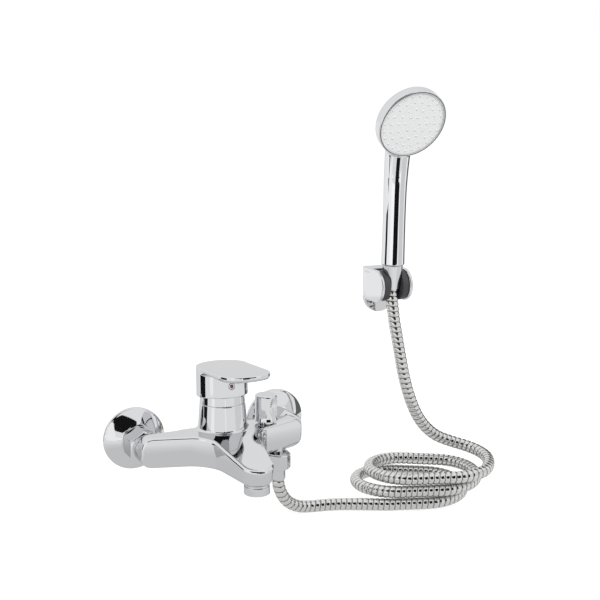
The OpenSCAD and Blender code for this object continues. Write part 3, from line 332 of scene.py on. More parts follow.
HANDLE_PLACE = (0.196, -0.035)


# Signed distance helpers

def meet(a, b, r):
    """Intersection of two forms with a rounded edge of radius r."""
    corner = np.hypot(np.maximum(a + r, 0), np.maximum(b + r, 0))
    return np.minimum(np.maximum(a, b), -r) + corner


def join(a, b, r):
    """Union of two forms with a fillet of radius r."""
    corner = np.hypot(np.maximum(r - a, 0), np.maximum(r - b, 0))
    return np.maximum(np.minimum(a, b), r) - corner


def cut(a, b, r=0.0):
    """Form a less form b, with a rounded edge of radius r."""
    return meet(a, -b, r) if r else np.maximum(a, -b)


def smooth_max(a, b, k):
    """The larger of two values, blended over a width k."""
    h = np.clip(0.5 + 0.5 * (a - b) / k, 0, 1)
    return b + (a - b) * h + k * h * (1 - h)


def slab(v, low, high):
    """The space between two parallel planes."""
    return np.maximum(low - v, v - high)


# Meshes from signed distance functions

PULLS = 3
LEAST_SLOPE = 0.25
CORNERS = list(product((0, 1), repeat=3))
EDGES = [(a, b) for a in CORNERS for b in CORNERS if sum(a) + 1 == sum(b) and np.all(np.less_equal(a, b))]


def sample(form, low, step, shape):
    """Values of a form on a grid, one slice at a time."""
    ys = low[1] + step * np.arange(shape[1])
    zs = low[2] + step * np.arange(shape[2])
    values = np.empty(shape)
    grid_y, grid_z = np.meshgrid(ys, zs, indexing="ij")
    for i in range(shape[0]):
        x = np.full(grid_y.shape, low[0] + step * i)
        values[i] = form(np.stack([x, grid_y, grid_z], -1))
    return values


def net_points(values, low, step):
    """One point in each cell that the surface crosses, and the table of their numbers."""
    inside = values < 0
    cells = tuple(n - 1 for n in values.shape)
    total = np.zeros(cells, int)
    for dx, dy, dz in CORNERS:
        total += inside[dx:dx + cells[0], dy:dy + cells[1], dz:dz + cells[2]]
    cell = np.argwhere((total > 0) & (total < len(CORNERS)))
    number = np.full(cells, -1)
    number[tuple(cell.T)] = np.arange(len(cell))
    place = np.zeros((len(cell), 3))
    count = np.zeros(len(cell))
    for a, b in EDGES:
        va = values[tuple((cell + a).T)]
        vb = values[tuple((cell + b).T)]
        crossed = (va < 0) != (vb < 0)
        t = np.where(crossed, va / np.where(crossed, va - vb, 1), 0)
        point = np.array(a) + t[:, None] * (np.array(b) - np.array(a))
        place += np.where(crossed[:, None], point, 0)
        count += crossed
    return np.array(low) + step * (cell + place / count[:, None]), number


def net_faces(values, number):
    """A quad across each grid edge that the surface crosses."""
    inside = values < 0
    faces = []
    for axis in range(3):
        b, c = [(1, 2), (2, 0), (0, 1)][axis]
        start = np.moveaxis(inside, (axis, b, c), (0, 1, 2))
        table = np.moveaxis(number, (axis, b, c), (0, 1, 2))
        first = start[:-1, 1:-1, 1:-1]
        last = start[1:, 1:-1, 1:-1]
        i, j, k = np.nonzero(first != last)
        corners = ((0, 0), (1, 0), (1, 1), (0, 1))
        quad = np.stack([table[i, j + dj, k + dk] for dj, dk in corners], -1)
        flip = ~first[i, j, k]
        quad[flip] = quad[flip][:, ::-1]
        faces.append(quad)
    faces = np.concatenate(faces)
    return faces[(faces >= 0).all(1)]


def slope_of(form, points, eps=0.02):
    """Gradient of a form at the points."""
    parts = []
    for axis in range(3):
        d = np.zeros(3)
        d[axis] = eps
        parts.append((form(points + d) - form(points - d)) / (2 * eps))
    return np.stack(parts, -1)


def form_mesh(name, form, low, high, step, place=Matrix()):
    """A mesh of a form in millimetres, pulled onto the surface, with the form's own smooth normals."""
    low = np.array(low, float) - 2 * step
    shape = tuple(int(n) for n in np.ceil((np.array(high, float) + 2 * step - low) / step) + 1)
    values = sample(form, low, step, shape)
    points, number = net_points(values, low, step)
    faces = net_faces(values, number)
    for _ in range(PULLS):
        slope = slope_of(form, points)
        move = form(points) / np.maximum((slope ** 2).sum(-1), LEAST_SLOPE)
        points = points - np.clip(move, -step / 2, step / 2)[:, None] * slope
    slope = slope_of(form, points)
    normals = slope / np.maximum(np.linalg.norm(slope, axis=1), 1e-9)[:, None]
    obj = make_mesh(name, set_in(points, place) * MM, faces)
    normals = normals @ np.array(place.to_3x3()).T
    obj.data.normals_split_custom_set_from_vertices(normals.tolist())
    return obj


def set_in(points, place):
    """Points of a frame in the row frame."""
    return np.array(points) @ np.array(place.to_3x3()).T + np.array(place.translation)


def make_mesh(name, points, faces, smooth=True):
    mesh = bpy.data.meshes.new(name)
    mesh.from_pydata(np.asarray(points).tolist(), [], [list(map(int, f)) for f in faces])
    mesh.update()
    obj = bpy.data.objects.new(name, mesh)
    bpy.context.scene.collection.objects.link(obj)
    for polygon in mesh.polygons:
        polygon.use_smooth = smooth
    return obj


# Turned pieces

CORNER_ROOM = 0.45
CORNER_GUARD = 1.08
CREASE = math.radians(32)


def bowed(a, b, rise, n=12):
    """Points from a to b that bulge outwards by a rise in their middle."""
    a, b = np.array(a, float), np.array(b, float)
    along = (b - a) / np.linalg.norm(b - a)
    across = np.array((along[1], -along[0]))
    shares = np.linspace(0, 1, n + 1)
    return [tuple(a + (b - a) * s + across * rise * 4 * s * (1 - s)) for s in shares]


def softened(profile, r, n=4):
    """A closed profile with every corner rounded by up to r, and a point on each side to keep flats flat."""
    count = len(profile)
    out = []
    for i in range(count):
        a, b, c = (np.array(profile[(i + k) % count], float) for k in (-1, 0, 1))
        u, v = a - b, c - b
        room = CORNER_ROOM * min(np.linalg.norm(u), np.linalg.norm(v))
        u, v = u / np.linalg.norm(u), v / np.linalg.norm(v)
        cut_back = min(r, room)
        p, q = b + u * cut_back, b + v * cut_back
        out.append(tuple(b + u * CORNER_GUARD * cut_back))
        for k in range(n + 1):
            t = k / n
            out.append(tuple((1 - t) ** 2 * p + 2 * t * (1 - t) * b + t * t * q))
        out.append(tuple(b + v * CORNER_GUARD * cut_back))
    return out


def lathe(name, profile, place, sides=96):
    """A closed ring profile of (radius, height) turned round its own Z, then placed."""
    profile = [(max(r, 0.01), z) for r, z in profile]
    count = len(profile)
    points = []
    for i in range(sides):
        a = 2 * math.pi * i / sides
        points += [(r * math.cos(a), r * math.sin(a), z) for r, z in profile]
    faces = []
    for i in range(sides):
        for k in range(count):
            m = (k + 1) % count
            n = (i + 1) % sides
            faces.append((i * count + k, n * count + k, n * count + m, i * count + m))
    obj = make_mesh(name, set_in(points, place) * MM, faces)
    obj.data.set_sharp_from_angle(angle=CREASE)
    return obj


def outward(x):
    """A frame whose Z points away from the wall."""
    return Matrix.Translation((x, 0, 0)) @ Matrix.Rotation(math.radians(90), 4, "X")


def at(x, y, z):
    return Matrix.Translation((x, y, z))


def handle_frame():
    return Matrix.Translation(HANDLE_AT) @ Matrix.Rotation(HANDLE_LEAN, 4, "X")


# Forms

def body_plan(x, y):
    """The body from above: two swept arms, a spout that narrows to a round tip, and the tower's foot."""
    front = (ARM_END_Y - (BODY_END - x) * math.tan(ARM_SWEEP) - y) * math.cos(ARM_SWEEP)
    arms = np.maximum(front, y - BODY_BACK)
    ahead = y - SPOUT_TIP_Y
    along = x * math.sin(SPOUT_FLARE) + ahead * math.cos(SPOUT_FLARE)
    side = x * math.cos(SPOUT_FLARE) - ahead * math.sin(SPOUT_FLARE) - SPOUT_TIP_R
    spout = np.where(along < 0, np.hypot(x, ahead) - SPOUT_TIP_R, side)
    spout = np.maximum(spout, y - TOWER_Y)
    foot = np.hypot(x, y - TOWER_Y) - TOWER_FOOT_R
    return join(join(arms, spout, SPOUT_FILLET_R), foot, TOWER_PLAN_FILLET)


def body_top(y, z):
    """The flat top of the arms, which runs over into the spout's slope."""
    run = SPOUT_SLOPE_Y - SPOUT_TIP_Y + SPOUT_TIP_R
    fall = (BODY_TOP - SPOUT_TIP_TOP) / run
    slope = (z - BODY_TOP - (y - SPOUT_SLOPE_Y) * fall) / math.hypot(1, fall)
    return smooth_max(z - BODY_TOP, slope, SLOPE_BLEND)


def body_hollow(p):
    """The cartridge's well, the diverter's chamber and the aerator's hole."""
    x, y, z = p[..., 0], p[..., 1], p[..., 2]
    tower = np.hypot(x, y - TOWER_Y)
    well = np.maximum(tower - TOWER_WELL_R, TOWER_WELL_Z - z)
    mouth = np.maximum(tower - TOWER_MOUTH_R, TOWER_MOUTH_Z - z)
    chamber = np.maximum(np.hypot(x - DIVERTER[0], y - DIVERTER[1]) - CHAMBER_R, CHAMBER_Z - z)
    aerator = np.hypot(x, y - SPOUT_TIP_Y) - AERATOR_HOLE_R
    aerator = np.maximum(aerator, z - BODY_BOTTOM - AERATOR_HOLE_H)
    return np.minimum(np.minimum(well, mouth), np.minimum(chamber, aerator))


def body_form(p):
    x, y, z = np.abs(p[..., 0]), p[..., 1], p[..., 2]
    crown = FRONT_CROWN * (z - CROWN_Z) ** 2 * np.clip((BODY_BACK - y) / CROWN_FADE, 0, 1)
    bottom = BODY_BOTTOM - z
    form = meet(body_plan(x, y) + crown, body_top(y, z), BODY_TOP_EDGE)
    form = meet(form, bottom, BODY_LOW_EDGE)
    end = meet(meet(x - BODY_END, z - BODY_TOP, ARM_CORNER_R), bottom, ARM_CORNER_R)
    form = meet(form, end, BODY_END_EDGE)
    taper = (TOWER_FOOT_R - TOWER_TOP_R) / (TOWER_TOP - BODY_TOP)
    cone = np.hypot(x, y - TOWER_Y) - TOWER_FOOT_R + taper * (z - BODY_TOP)
    tower = meet(np.maximum(cone, -z), z - TOWER_TOP, TOWER_RIM_EDGE)
    return cut(join(form, tower, TOWER_FILLET), body_hollow(p))


def lever_form(p):
    x, y, z = np.abs(p[..., 0]), p[..., 1] - TOWER_Y, p[..., 2]
    tower = np.hypot(x, y)
    lift = -y * math.tan(LEVER_RISE)
    top = (z - LEVER_TOP - lift) * math.cos(LEVER_RISE)
    bottom = (SKIRT_BOTTOM + lift - z) * math.cos(LEVER_RISE)
    side = (x - BLADE_SIDE - (y - BLADE_SIDE_Y) * BLADE_TAPER) / math.hypot(1, BLADE_TAPER)
    front = np.hypot(x, np.minimum(y + BLADE_REACH - BLADE_FRONT_R, 0)) - BLADE_FRONT_R
    plan = np.maximum(meet(side, front, BLADE_CORNER_R), y)
    blade = meet(plan, -top - BLADE_T, BLADE_LOW_EDGE)
    skirt = tower - SKIRT_R
    fillet = SKIRT_FILLET * np.clip((-top - FILLET_DEPTH) / FILLET_FADE, FILLET_LEAST, 1)
    form = meet(join(blade, skirt, fillet), top, LEVER_EDGE)
    form = meet(form, bottom, SKIRT_EDGE)
    cavity = np.maximum(tower - SKIRT_INNER_R, top + BLADE_T)
    cavity = cut(cavity, np.maximum(tower - SOCKET_R, SOCKET_BOTTOM - z))
    hole = np.maximum(np.hypot(x, z - PLUG_Z) - PLUG_R, y - PLUG_HOLE_Y)
    stem = np.maximum(np.maximum(x, np.abs(y)) - STEM_HALF, z - STEM_TOP)
    return cut(cut(cut(form, cavity), hole), stem)


def knob_form(p):
    x, y, z = p[..., 0], p[..., 1], p[..., 2]
    waist = KNOB_R - KNOB_FLARE + KNOB_FLARE * np.clip(1 - z / KNOB_FLARE_H, 0, 1) ** 2
    rim = np.hypot(x, y) - waist
    form = meet(meet(rim, z - KNOB_H, KNOB_TOP_EDGE), -z, KNOB_LOW_EDGE)
    across = x * math.cos(KNOB_TURN) + y * math.sin(KNOB_TURN)
    ahead = np.abs(-x * math.sin(KNOB_TURN) + y * math.cos(KNOB_TURN)) - KNOB_R - SCOOP_OUT
    scoop = np.sqrt(across ** 2 + ahead ** 2 + (SCOOP_STRETCH * (z - SCOOP_Z)) ** 2) - SCOOP_R
    form = cut(form, scoop, SCOOP_EDGE)
    return cut(form, np.maximum(np.hypot(x, y) - KNOB_BORE_R, z - KNOB_BORE_H))


def head_form(p):
    """The hand shower's shell, in the handle's frame."""
    z = p[..., 2]
    grow = np.clip((z - NECK_START) / NECK_L, 0, 1) ** 2
    waist = HANDLE_WAIST * np.sin(np.clip(z / HANDLE_WAIST_L, 0, 1) * math.pi)
    stalk = np.hypot(p[..., 0], p[..., 1] + NECK_LEAN * grow) - HANDLE_R + waist - NECK_GROW * grow
    stalk = meet(meet(stalk, -z, HANDLE_LOW_EDGE), z - STALK_END, STALK_END_EDGE)
    q = p - np.array(HEAD_AT)
    out = -q[..., 1] * math.cos(HEAD_TILT) - q[..., 2] * math.sin(HEAD_TILT)
    up = -q[..., 1] * math.sin(HEAD_TILT) + q[..., 2] * math.cos(HEAD_TILT)
    rim = np.hypot(q[..., 0], up)
    dome = HEAD_T - HEAD_SIDE
    back_r = (dome ** 2 + HEAD_R ** 2) / (2 * dome)
    back = np.hypot(rim, out + HEAD_T - back_r) - back_r
    head = meet(meet(rim - HEAD_R, back, HEAD_BACK_EDGE), out, HEAD_FRONT_EDGE)
    within = rim - HEAD_R - HEAD_CLEAR
    fillet = NECK_FILLET_LEAST + NECK_FILLET * np.clip(-out / NECK_FADE, 0, 1)
    form = join(cut(stalk, np.maximum(within, -NECK_STOP - out)), head, fillet)
    form = cut(form, np.maximum(within, -out))
    face = np.maximum(rim - FACE_R, -FACE_DEPTH - out)
    return cut(form, face, FACE_EDGE)


def bracket_form(p):
    x, y, z = np.abs(p[..., 0] - BRACKET_X), p[..., 1], p[..., 2]
    low = np.hypot(x, z - BRACKET_LOW_CENTRE) - BRACKET_HALF
    upper = np.maximum(x - BRACKET_HALF, slab(z, BRACKET_LOW_CENTRE, BRACKET_TOP))
    plate = meet(np.minimum(low, upper), slab(y, -PLATE_T, 0.0), PLATE_EDGE)
    nose = np.hypot(y - BARREL_OUT, z - BARREL_Z) - CHEEK_R
    web = np.maximum(slab(y, BARREL_OUT, 0.0), np.abs(z - BARREL_Z) - CHEEK_R)
    cheek = meet(np.minimum(nose, web), slab(x, BRACKET_HALF - CHEEK_T, BRACKET_HALF), CHEEK_EDGE)
    roof = np.maximum(x - BRACKET_HALF, slab(z, BRACKET_TOP - ROOF_T, BRACKET_TOP))
    roof = meet(roof, slab(y, ROOF_OUT, 0.0), PLATE_EDGE)
    form = join(join(plate, cheek, BRACKET_FILLET), roof, BRACKET_FILLET)
    form = meet(form, z - BRACKET_TOP, CHEEK_EDGE)
    form = meet(form, x - BRACKET_HALF, CHEEK_EDGE)
    return np.maximum(form, y)


def handle_point(p):
    """Points of the row frame in the handle's own frame."""
    q = p - np.array(HANDLE_AT)
    c, s = math.cos(HANDLE_LEAN), math.sin(HANDLE_LEAN)
    return q[..., 0], q[..., 1] * c + q[..., 2] * s, -q[..., 1] * s + q[..., 2] * c


def barrel_form(p):
    x, y, z = np.abs(p[..., 0] - BRACKET_X), p[..., 1], p[..., 2]
    drum = meet(np.hypot(y - BARREL_OUT, z - BARREL_Z) - BARREL_R, x - BARREL_HALF, BARREL_EDGE)
    hx, hy, hz = handle_point(p)
    share = np.clip((hz - CONE_BOTTOM) / (CONE_TOP - CONE_BOTTOM), 0, 1)
    seat = np.hypot(hx, hy) - (CONE_BOTTOM_R + share * (CONE_TOP_R - CONE_BOTTOM_R) + SEAT_CLEAR)
    slot = np.maximum(np.abs(hx) - SLOT_HALF, hy)
    return cut(drum, join(seat, slot, SEAT_FILLET), SEAT_EDGE)


# Materials

METAL = 1.0
PLAIN = 0.0
NOISE_DETAIL = 4.0
BUMP_HEIGHT = 0.0002
INDEX_RED = (0.45, 0.03, 0.04)
INDEX_BLUE = (0.03, 0.08, 0.3)


def material(name, colour, metallic, roughness, speckle=0.02, grain=400.0, bump=0.0, edge=1.0):
    """A principled surface whose roughness varies a little over it, with an optional fine bump."""
    mat = bpy.data.materials.new(name)
    mat.use_nodes = True
    nodes, links = mat.node_tree.nodes, mat.node_tree.links
    shader = nodes["Principled BSDF"]
    shader.inputs["Base Color"].default_value = (*colour, 1)
    shader.inputs["Metallic"].default_value = metallic
    shader.inputs["Specular Tint"].default_value = (edge, edge, edge, 1)
    coords = nodes.new("ShaderNodeTexCoord")
    noise = nodes.new("ShaderNodeTexNoise")
    noise.inputs["Scale"].default_value = grain
    noise.inputs["Detail"].default_value = NOISE_DETAIL
    links.new(coords.outputs["Object"], noise.inputs["Vector"])
    spread = nodes.new("ShaderNodeMapRange")
    spread.inputs["To Min"].default_value = max(roughness - speckle, 0.0)
    spread.inputs["To Max"].default_value = roughness + speckle
    links.new(noise.outputs["Fac"], spread.inputs["Value"])
    links.new(spread.outputs["Result"], shader.inputs["Roughness"])
    if bump:
        relief = nodes.new("ShaderNodeBump")
        relief.inputs["Strength"].default_value = bump
        relief.inputs["Distance"].default_value = BUMP_HEIGHT
        links.new(noise.outputs["Fac"], relief.inputs["Height"])
        links.new(relief.outputs["Normal"], shader.inputs["Normal"])
    return mat


def index_material():
    """Red on the plug's left half and blue on its right half."""
    mat = material("index_colours", INDEX_RED, PLAIN, 0.25)
    nodes, links = mat.node_tree.nodes, mat.node_tree.links
    coords = nodes.new("ShaderNodeTexCoord")
    split = nodes.new("ShaderNodeSeparateXYZ")
    side = nodes.new("ShaderNodeMath")
    side.operation = "GREATER_THAN"
    side.inputs[1].default_value = 0.0
    mix = nodes.new("ShaderNodeMix")
    mix.data_type = "RGBA"
    mix.inputs["A"].default_value = (*INDEX_RED, 1)
    mix.inputs["B"].default_value = (*INDEX_BLUE, 1)
    links.new(coords.outputs["Object"], split.inputs["Vector"])
    links.new(split.outputs["X"], side.inputs[0])
    links.new(side.outputs["Value"], mix.inputs["Factor"])
    links.new(mix.outputs["Result"], nodes["Principled BSDF"].inputs["Base Color"])
    return mat


CHROME = material("bright_chrome", (0.70, 0.705, 0.72), METAL, 0.045, speckle=0.015, grain=60.0, edge=0.8)
HOSE_STEEL = material("hose_steel", (0.71, 0.71, 0.70), METAL, 0.14, speckle=0.05, grain=300.0, edge=0.8)
# A darker metal for the groove's faces: painted shade in the hose's groove
HOSE_GROOVE_SHADE = material("hose_groove_shade", (0.27, 0.265, 0.26), METAL, 0.4, speckle=0.05, grain=300.0)
BRASS = material("machined_brass", (0.72, 0.52, 0.2), METAL, 0.3, speckle=0.08, grain=500.0, bump=0.1)
STEEL = material("plain_steel", (0.55, 0.56, 0.58), METAL, 0.3, speckle=0.08, grain=500.0, bump=0.1)
RUBBER = material("seal_rubber", (0.02, 0.02, 0.02), PLAIN, 0.6, speckle=0.08, grain=600.0, bump=0.2)
DARK = material("dark_moulding", (0.035, 0.035, 0.04), PLAIN, 0.5, speckle=0.06, grain=800.0, bump=0.15)
WHITE = material("white_moulding", (0.75, 0.75, 0.73), PLAIN, 0.4, speckle=0.05, grain=600.0, bump=0.1)
CERAMIC = material("lapped_ceramic", (0.85, 0.84, 0.8), PLAIN, 0.15, speckle=0.03, grain=500.0)
FACE = material("spray_face_grey", (0.87, 0.875, 0.88), PLAIN, 0.4, speckle=0.05, grain=500.0, bump=0.05)
NOZZLE = material("nozzle_rubber", (0.79, 0.795, 0.80), PLAIN, 0.8, speckle=0.06, grain=800.0)
INDEX = index_material()

NODE_MATERIALS = {
    "chromed_brass": CHROME, "raw_brass": BRASS, "seal_rubber": RUBBER, "white_plastic": WHITE,
    "disc_ceramic": CERAMIC, "dark_plastic": DARK, "steel": STEEL, "plated_plastic": CHROME,
    "hose_steel": HOSE_STEEL, "spray_face": FACE, "nozzle_rubber": NOZZLE, "index_red": INDEX,
}


def dress_nodes():
    """Gives every CAD node the material of its slot."""
    for entry in frame["record"]["subparts"]:
        obj = frame["nodes"][entry["node"]]
        obj.data.materials.clear()
        obj.data.materials.append(NODE_MATERIALS[entry["material_slot"]])


def put(obj, mat, body, slot, *nodes):
    """Finishes a piece: its material, its body and the nodes that it stands for, which it hides. The slot
    argument is not used.
    """
    obj.data.materials.clear()
    obj.data.materials.append(mat)
    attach(obj, body)
    if nodes:
        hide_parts(*nodes)
    return obj


# Hose

def coil_point(s):
    """A point of the coil at a length s: an oval that drifts and rises with every lap."""
    half_round = math.pi * COIL_R
    lap = 2 * (COIL_STRAIGHT + half_round)
    t = s % lap
    far = COIL_STRAIGHT / 2
    if t < COIL_STRAIGHT:
        u, v = -far + t, -COIL_R
    elif t < COIL_STRAIGHT + half_round:
        a = (t - COIL_STRAIGHT) / COIL_R
        u, v = far + COIL_R * math.sin(a), -COIL_R * math.cos(a)
    elif t < 2 * COIL_STRAIGHT + half_round:
        u, v = far - (t - COIL_STRAIGHT - half_round), COIL_R
    else:
        a = (t - 2 * COIL_STRAIGHT - half_round) / COIL_R
        u, v = -far - COIL_R * math.sin(a), COIL_R * math.cos(a)
    u += COIL_DRIFT * s / lap
    c, n = math.cos(COIL_ANGLE), math.sin(COIL_ANGLE)
    height = COIL_FLOOR + COIL_RISE * s / lap
    return (COIL_CENTRE[0] + u * c - v * n, COIL_CENTRE[1] + u * n + v * c, height)


def hose_points():
    lap = 2 * (COIL_STRAIGHT + math.pi * COIL_R)
    steps = int(COIL_TURNS * lap / COIL_STEP)
    coil = [coil_point(COIL_STEP * i) for i in range(steps + 1)]
    base = np.array(HANDLE_AT) * MM
    axis = np.array((0, -math.sin(HANDLE_LEAN), math.cos(HANDLE_LEAN)))
    high = [tuple(base + axis * s) for s in HOSE_STOPS]
    return np.array(HOSE_LOW + HOSE_RUN + coil + HOSE_RISE + high)


def smooth_route(points, n=24):
    """A smooth curve through the points."""
    last = len(points) - 1
    out = []
    for i in range(last):
        a, b, c, d = (points[min(max(i + k, 0), last)] for k in (-1, 0, 1, 2))
        for k in range(n):
            t = k / n
            out.append(0.5 * (2 * b + (c - a) * t + (2 * a - 5 * b + 4 * c - d) * t * t
                              + (3 * b - a - 3 * c + d) * t ** 3))
    out.append(points[last])
    return np.array(out)


def even_route(points, count):
    """The same curve at even steps along it."""
    lengths = np.concatenate([[0], np.cumsum(np.linalg.norm(np.diff(points, axis=0), axis=1))])
    places = np.linspace(0, lengths[-1], count)
    return np.stack([np.interp(places, lengths, points[:, k]) for k in range(3)], -1), lengths[-1]


def carried_sides(route):
    """Two directions across the route at each point, carried along it without a twist."""
    directions = np.gradient(route, axis=0)
    directions /= np.linalg.norm(directions, axis=1)[:, None]
    sides = []
    side = np.array((1.0, 0.0, 0.0))
    for d in directions:
        side = side - (side @ d) * d
        side = side / np.linalg.norm(side)
        sides.append(side)
    sides = np.array(sides)
    return sides, np.cross(directions, sides)


def rib_shape(phase):
    """Height of the winding at a place within one rib, from 0 in the groove to 1 on the crest."""
    t = phase - np.floor(phase)
    rise = np.clip(np.minimum(t, 1 - t) / GROOVE_SHARE, 0, 1)
    return rise * (2 - rise)


def hose_mesh(name, route, sides, ups, first, around=HOSE_SIDES):
    """A spirally ribbed tube along a stretch of the route, with shade painted on the faces in its groove."""
    count = len(route)
    angle = 2 * math.pi * np.arange(around) / around
    ring = (first + np.arange(count)) / RINGS_PER_RIB
    phase = ring[:, None] + angle[None, :] / (2 * math.pi)
    radius = HOSE_R - RIB_DEPTH * (1 - rib_shape(phase))
    aside = np.cos(angle)[None, :, None] * sides[:, None, :]
    spoke = aside + np.sin(angle)[None, :, None] * ups[:, None, :]
    points = (route[:, None, :] + radius[:, :, None] * spoke).reshape(-1, 3)
    faces = []
    for i in range(count - 1):
        for k in range(around):
            m = (k + 1) % around
            faces.append((i * around + k, i * around + m, (i + 1) * around + m, (i + 1) * around + k))
    faces.append(list(range(around))[::-1])
    faces.append(list(range((count - 1) * around, count * around)))
    obj = make_mesh(name, points, faces)
    obj.data.materials.append(HOSE_STEEL)
    # The second material paints shade on the faces in the groove
    obj.data.materials.append(HOSE_GROOVE_SHADE)
    groove = groove_shade_faces(first, count, around)
    obj.data.polygons.foreach_set("material_index", np.concatenate([groove, [0, 0]]))
    return obj


def groove_shade_faces(first, count, around):
    """1 for the faces at the bottom of the winding's groove, which take the painted groove shade, and 0 for
    the others.
    """
    middle = (first + np.arange(count - 1) + 0.5) / RINGS_PER_RIB
    turned = middle[:, None] + (np.arange(around)[None, :] + 0.5) / around
    share = turned - np.floor(turned)
    return (np.minimum(share, 1 - share) < GROOVE_SHADE_SHARE).ravel().astype(int)


def build_hose():
    """The hose in two stretches: a run that lies and rises, and an end that goes up to the hand shower."""
    count = HOSE_RIBS * RINGS_PER_RIB + 1
    route, length = even_route(smooth_route(hose_points()), count)
    sides, ups = carried_sides(route)
    rising = np.nonzero((route[:, 2] > HOSE_SPLIT_Z) & (np.arange(count) > count // 2))[0]
    split = int(rising[0])
    end = split + 1
    low = hose_mesh("shower_hose_run", route[:end], sides[:end], ups[:end], 0)
    high = hose_mesh("shower_hose_end", route[split:], sides[split:], ups[split:], split)
    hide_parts("shower_hose")
    tuple(route[split])
    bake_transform(low)
    tuple(route[split])
    tuple(route[-HOSE_END_RINGS])
    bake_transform(high)
    ferrule = build_ferrule()
    cone = build_hose_cone()
    path = [tuple(p) for p in route[:end:PATH_STEP]] + [tuple(route[split])]
    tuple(HOSE_LOW[0])


def build_ferrule():
    ferrule = lathe("outlet_ferrule", softened(FERRULE, FERRULE_EDGE), at(*OUTLET, 0))
    return put(ferrule, CHROME, "mixer", "chromed_brass", "hose_ferrule")


def build_hose_cone():
    top_bore, low_bore = CONE_BORES[0][0], CONE_BORES[-1][0]
    outside = (
        (low_bore, CONE_BOTTOM), (CONE_BOTTOM_R, CONE_BOTTOM), (CONE_TOP_R, CONE_TOP), (top_bore, CONE_TOP),
    )
    cone = lathe("hose_cone", softened(outside + CONE_BORES, CONE_EDGE), handle_frame())
    return put(cone, CHROME, "hose_end", "chromed_brass", "conical_nut")


# Pieces

def build_body():
    low = (-BODY_END, SPOUT_TIP_Y - SPOUT_TIP_R, BODY_BOTTOM)
    high = (BODY_END, TOWER_Y + TOWER_FOOT_R, TOWER_TOP)
    body = form_mesh("mixer_body", body_form, low, high, BODY_STEP)
    put(body, CHROME, "mixer", "chromed_brass", "body")


def build_lever():
    low = (-LEVER_HALF, TOWER_Y - BLADE_REACH, LEVER_SPAN[0])
    high = (LEVER_HALF, TOWER_Y + LEVER_HALF, LEVER_SPAN[1])
    lever = form_mesh("mixer_lever", lever_form, low, high, LEVER_STEP)
    put(lever, CHROME, "lever", "chromed_brass", "lever")
    seat = at(0, TOWER_Y + PLUG_SEAT_Y, PLUG_Z) @ Matrix.Rotation(math.radians(90), 4, "X")
    rim = lathe("index_rim", softened(INDEX_RIM, INDEX_RIM_EDGE), seat, PLUG_SIDES)
    put(rim, CHROME, "lever", "chromed_brass", "index_plug")
    dot = lathe("index_dot", INDEX_DOT, seat, PLUG_SIDES)
    put(dot, INDEX, "lever", "index_red")


def build_inlets():
    rim = softened(COVER_BACK, COVER_EDGE) + bowed(*COVER_FRONT, COVER_BULGE) + list(COVER_RIM)
    for side, name in ((-1, "left"), (1, "right")):
        cover = lathe(name + "_cover", rim, outward(side * INLET_X))
        put(cover, CHROME, "mixer", "chromed_brass", name + "_escutcheon")
        ring = nut(
            name + "_nut", UNION_FLATS, UNION_LOW, UNION_HIGH, UNION_BORE_R, outward(side * INLET_X),
            mouth=UNION_MOUTH_R,
        )
        put(ring, CHROME, "mixer", "chromed_brass", name + "_union_nut")


def nut_form(flats, low, high, bore, mouth, corners):
    """A nut along Z with chamfered ends: its bore narrows to the mouth at the high end."""
    rim_r = NUT_CHAMFER * flats / 2

    def form(p):
        x, y, z = p[..., 0], p[..., 1], p[..., 2]
        r = np.hypot(x, y)
        side = np.full(r.shape, -flats)
        for i in range(corners):
            a = 2 * math.pi * i / corners
            side = smooth_max(side, x * math.cos(a) + y * math.sin(a) - flats / 2, NUT_BLEND)
        chamfer = 0.5 * (r - rim_r - CHAMFER_SLOPE * np.minimum(high - z, z - low))
        solid = meet(side, chamfer, NUT_EDGE)
        solid = meet(solid, slab(z, low, high), NUT_EDGE)
        hole = np.where(z > high - NUT_LIP, mouth, bore)
        return cut(solid, r - hole)
    return form


def nut(name, flats, low, high, bore, place, corners=6, mouth=None):
    reach = flats / 2 / math.cos(math.pi / corners)
    form = nut_form(flats, low, high, bore, mouth or bore, corners)
    return form_mesh(name, form, (-reach, -reach, low), (reach, reach, high), NUT_STEP, place)


def build_tower_ring():
    ring = lathe("tower_ring", softened(TOWER_RING, TOWER_RING_EDGE), at(0, TOWER_Y, TOWER_TOP))
    put(ring, CHROME, "mixer", "chromed_brass", "cap_ring")


def build_aerator():
    shell = lathe("aerator_shell", softened(AERATOR, AERATOR_EDGE), at(0, SPOUT_TIP_Y, BODY_BOTTOM))
    put(shell, CHROME, "mixer", "chromed_brass", "aerator_housing")


def build_knob():
    place = at(*DIVERTER, KNOB_Z)
    knob = form_mesh("diverter_grip", knob_form, *KNOB_BOX, KNOB_STEP, place)
    put(knob, CHROME, "diverter", "chromed_brass", "diverter_knob")


def build_outlet():
    collar = nut(
        "outlet_hose_nut", HOSE_NUT_FLATS, HOSE_NUT_LOW, HOSE_NUT_HIGH, HOSE_NUT_BORE_R,
        at(*OUTLET, 0), HOSE_NUT_CORNERS,
    )
    put(collar, CHROME, "mixer", "chromed_brass", "hose_nut")


def build_hand_shower():
    shell = form_mesh("hand_shower_shell", head_form, *HEAD_BOX, HEAD_STEP, handle_frame())
    put(shell, CHROME, "handset", "plated_plastic", "handset_shell")


def face_frame():
    """A frame on the hand shower's rim, whose Z points out of the spray face."""
    turn = Matrix.Rotation(math.radians(90) + HEAD_TILT, 4, "X")
    return handle_frame() @ Matrix.Translation(HEAD_AT) @ turn


def build_nozzles():
    """Low soft domes on the spray face, one for each nozzle."""
    points = []
    faces = []
    for count, radius in NOZZLE_RINGS:
        for i in range(count):
            a = 2 * math.pi * i / count
            add_dome(points, faces, radius * math.cos(a), radius * math.sin(a))
    domes = make_mesh("soft_nozzles", set_in(points, face_frame()) * MM, faces)
    put(domes, NOZZLE, "handset", "nozzle_rubber", "spray_nozzles")


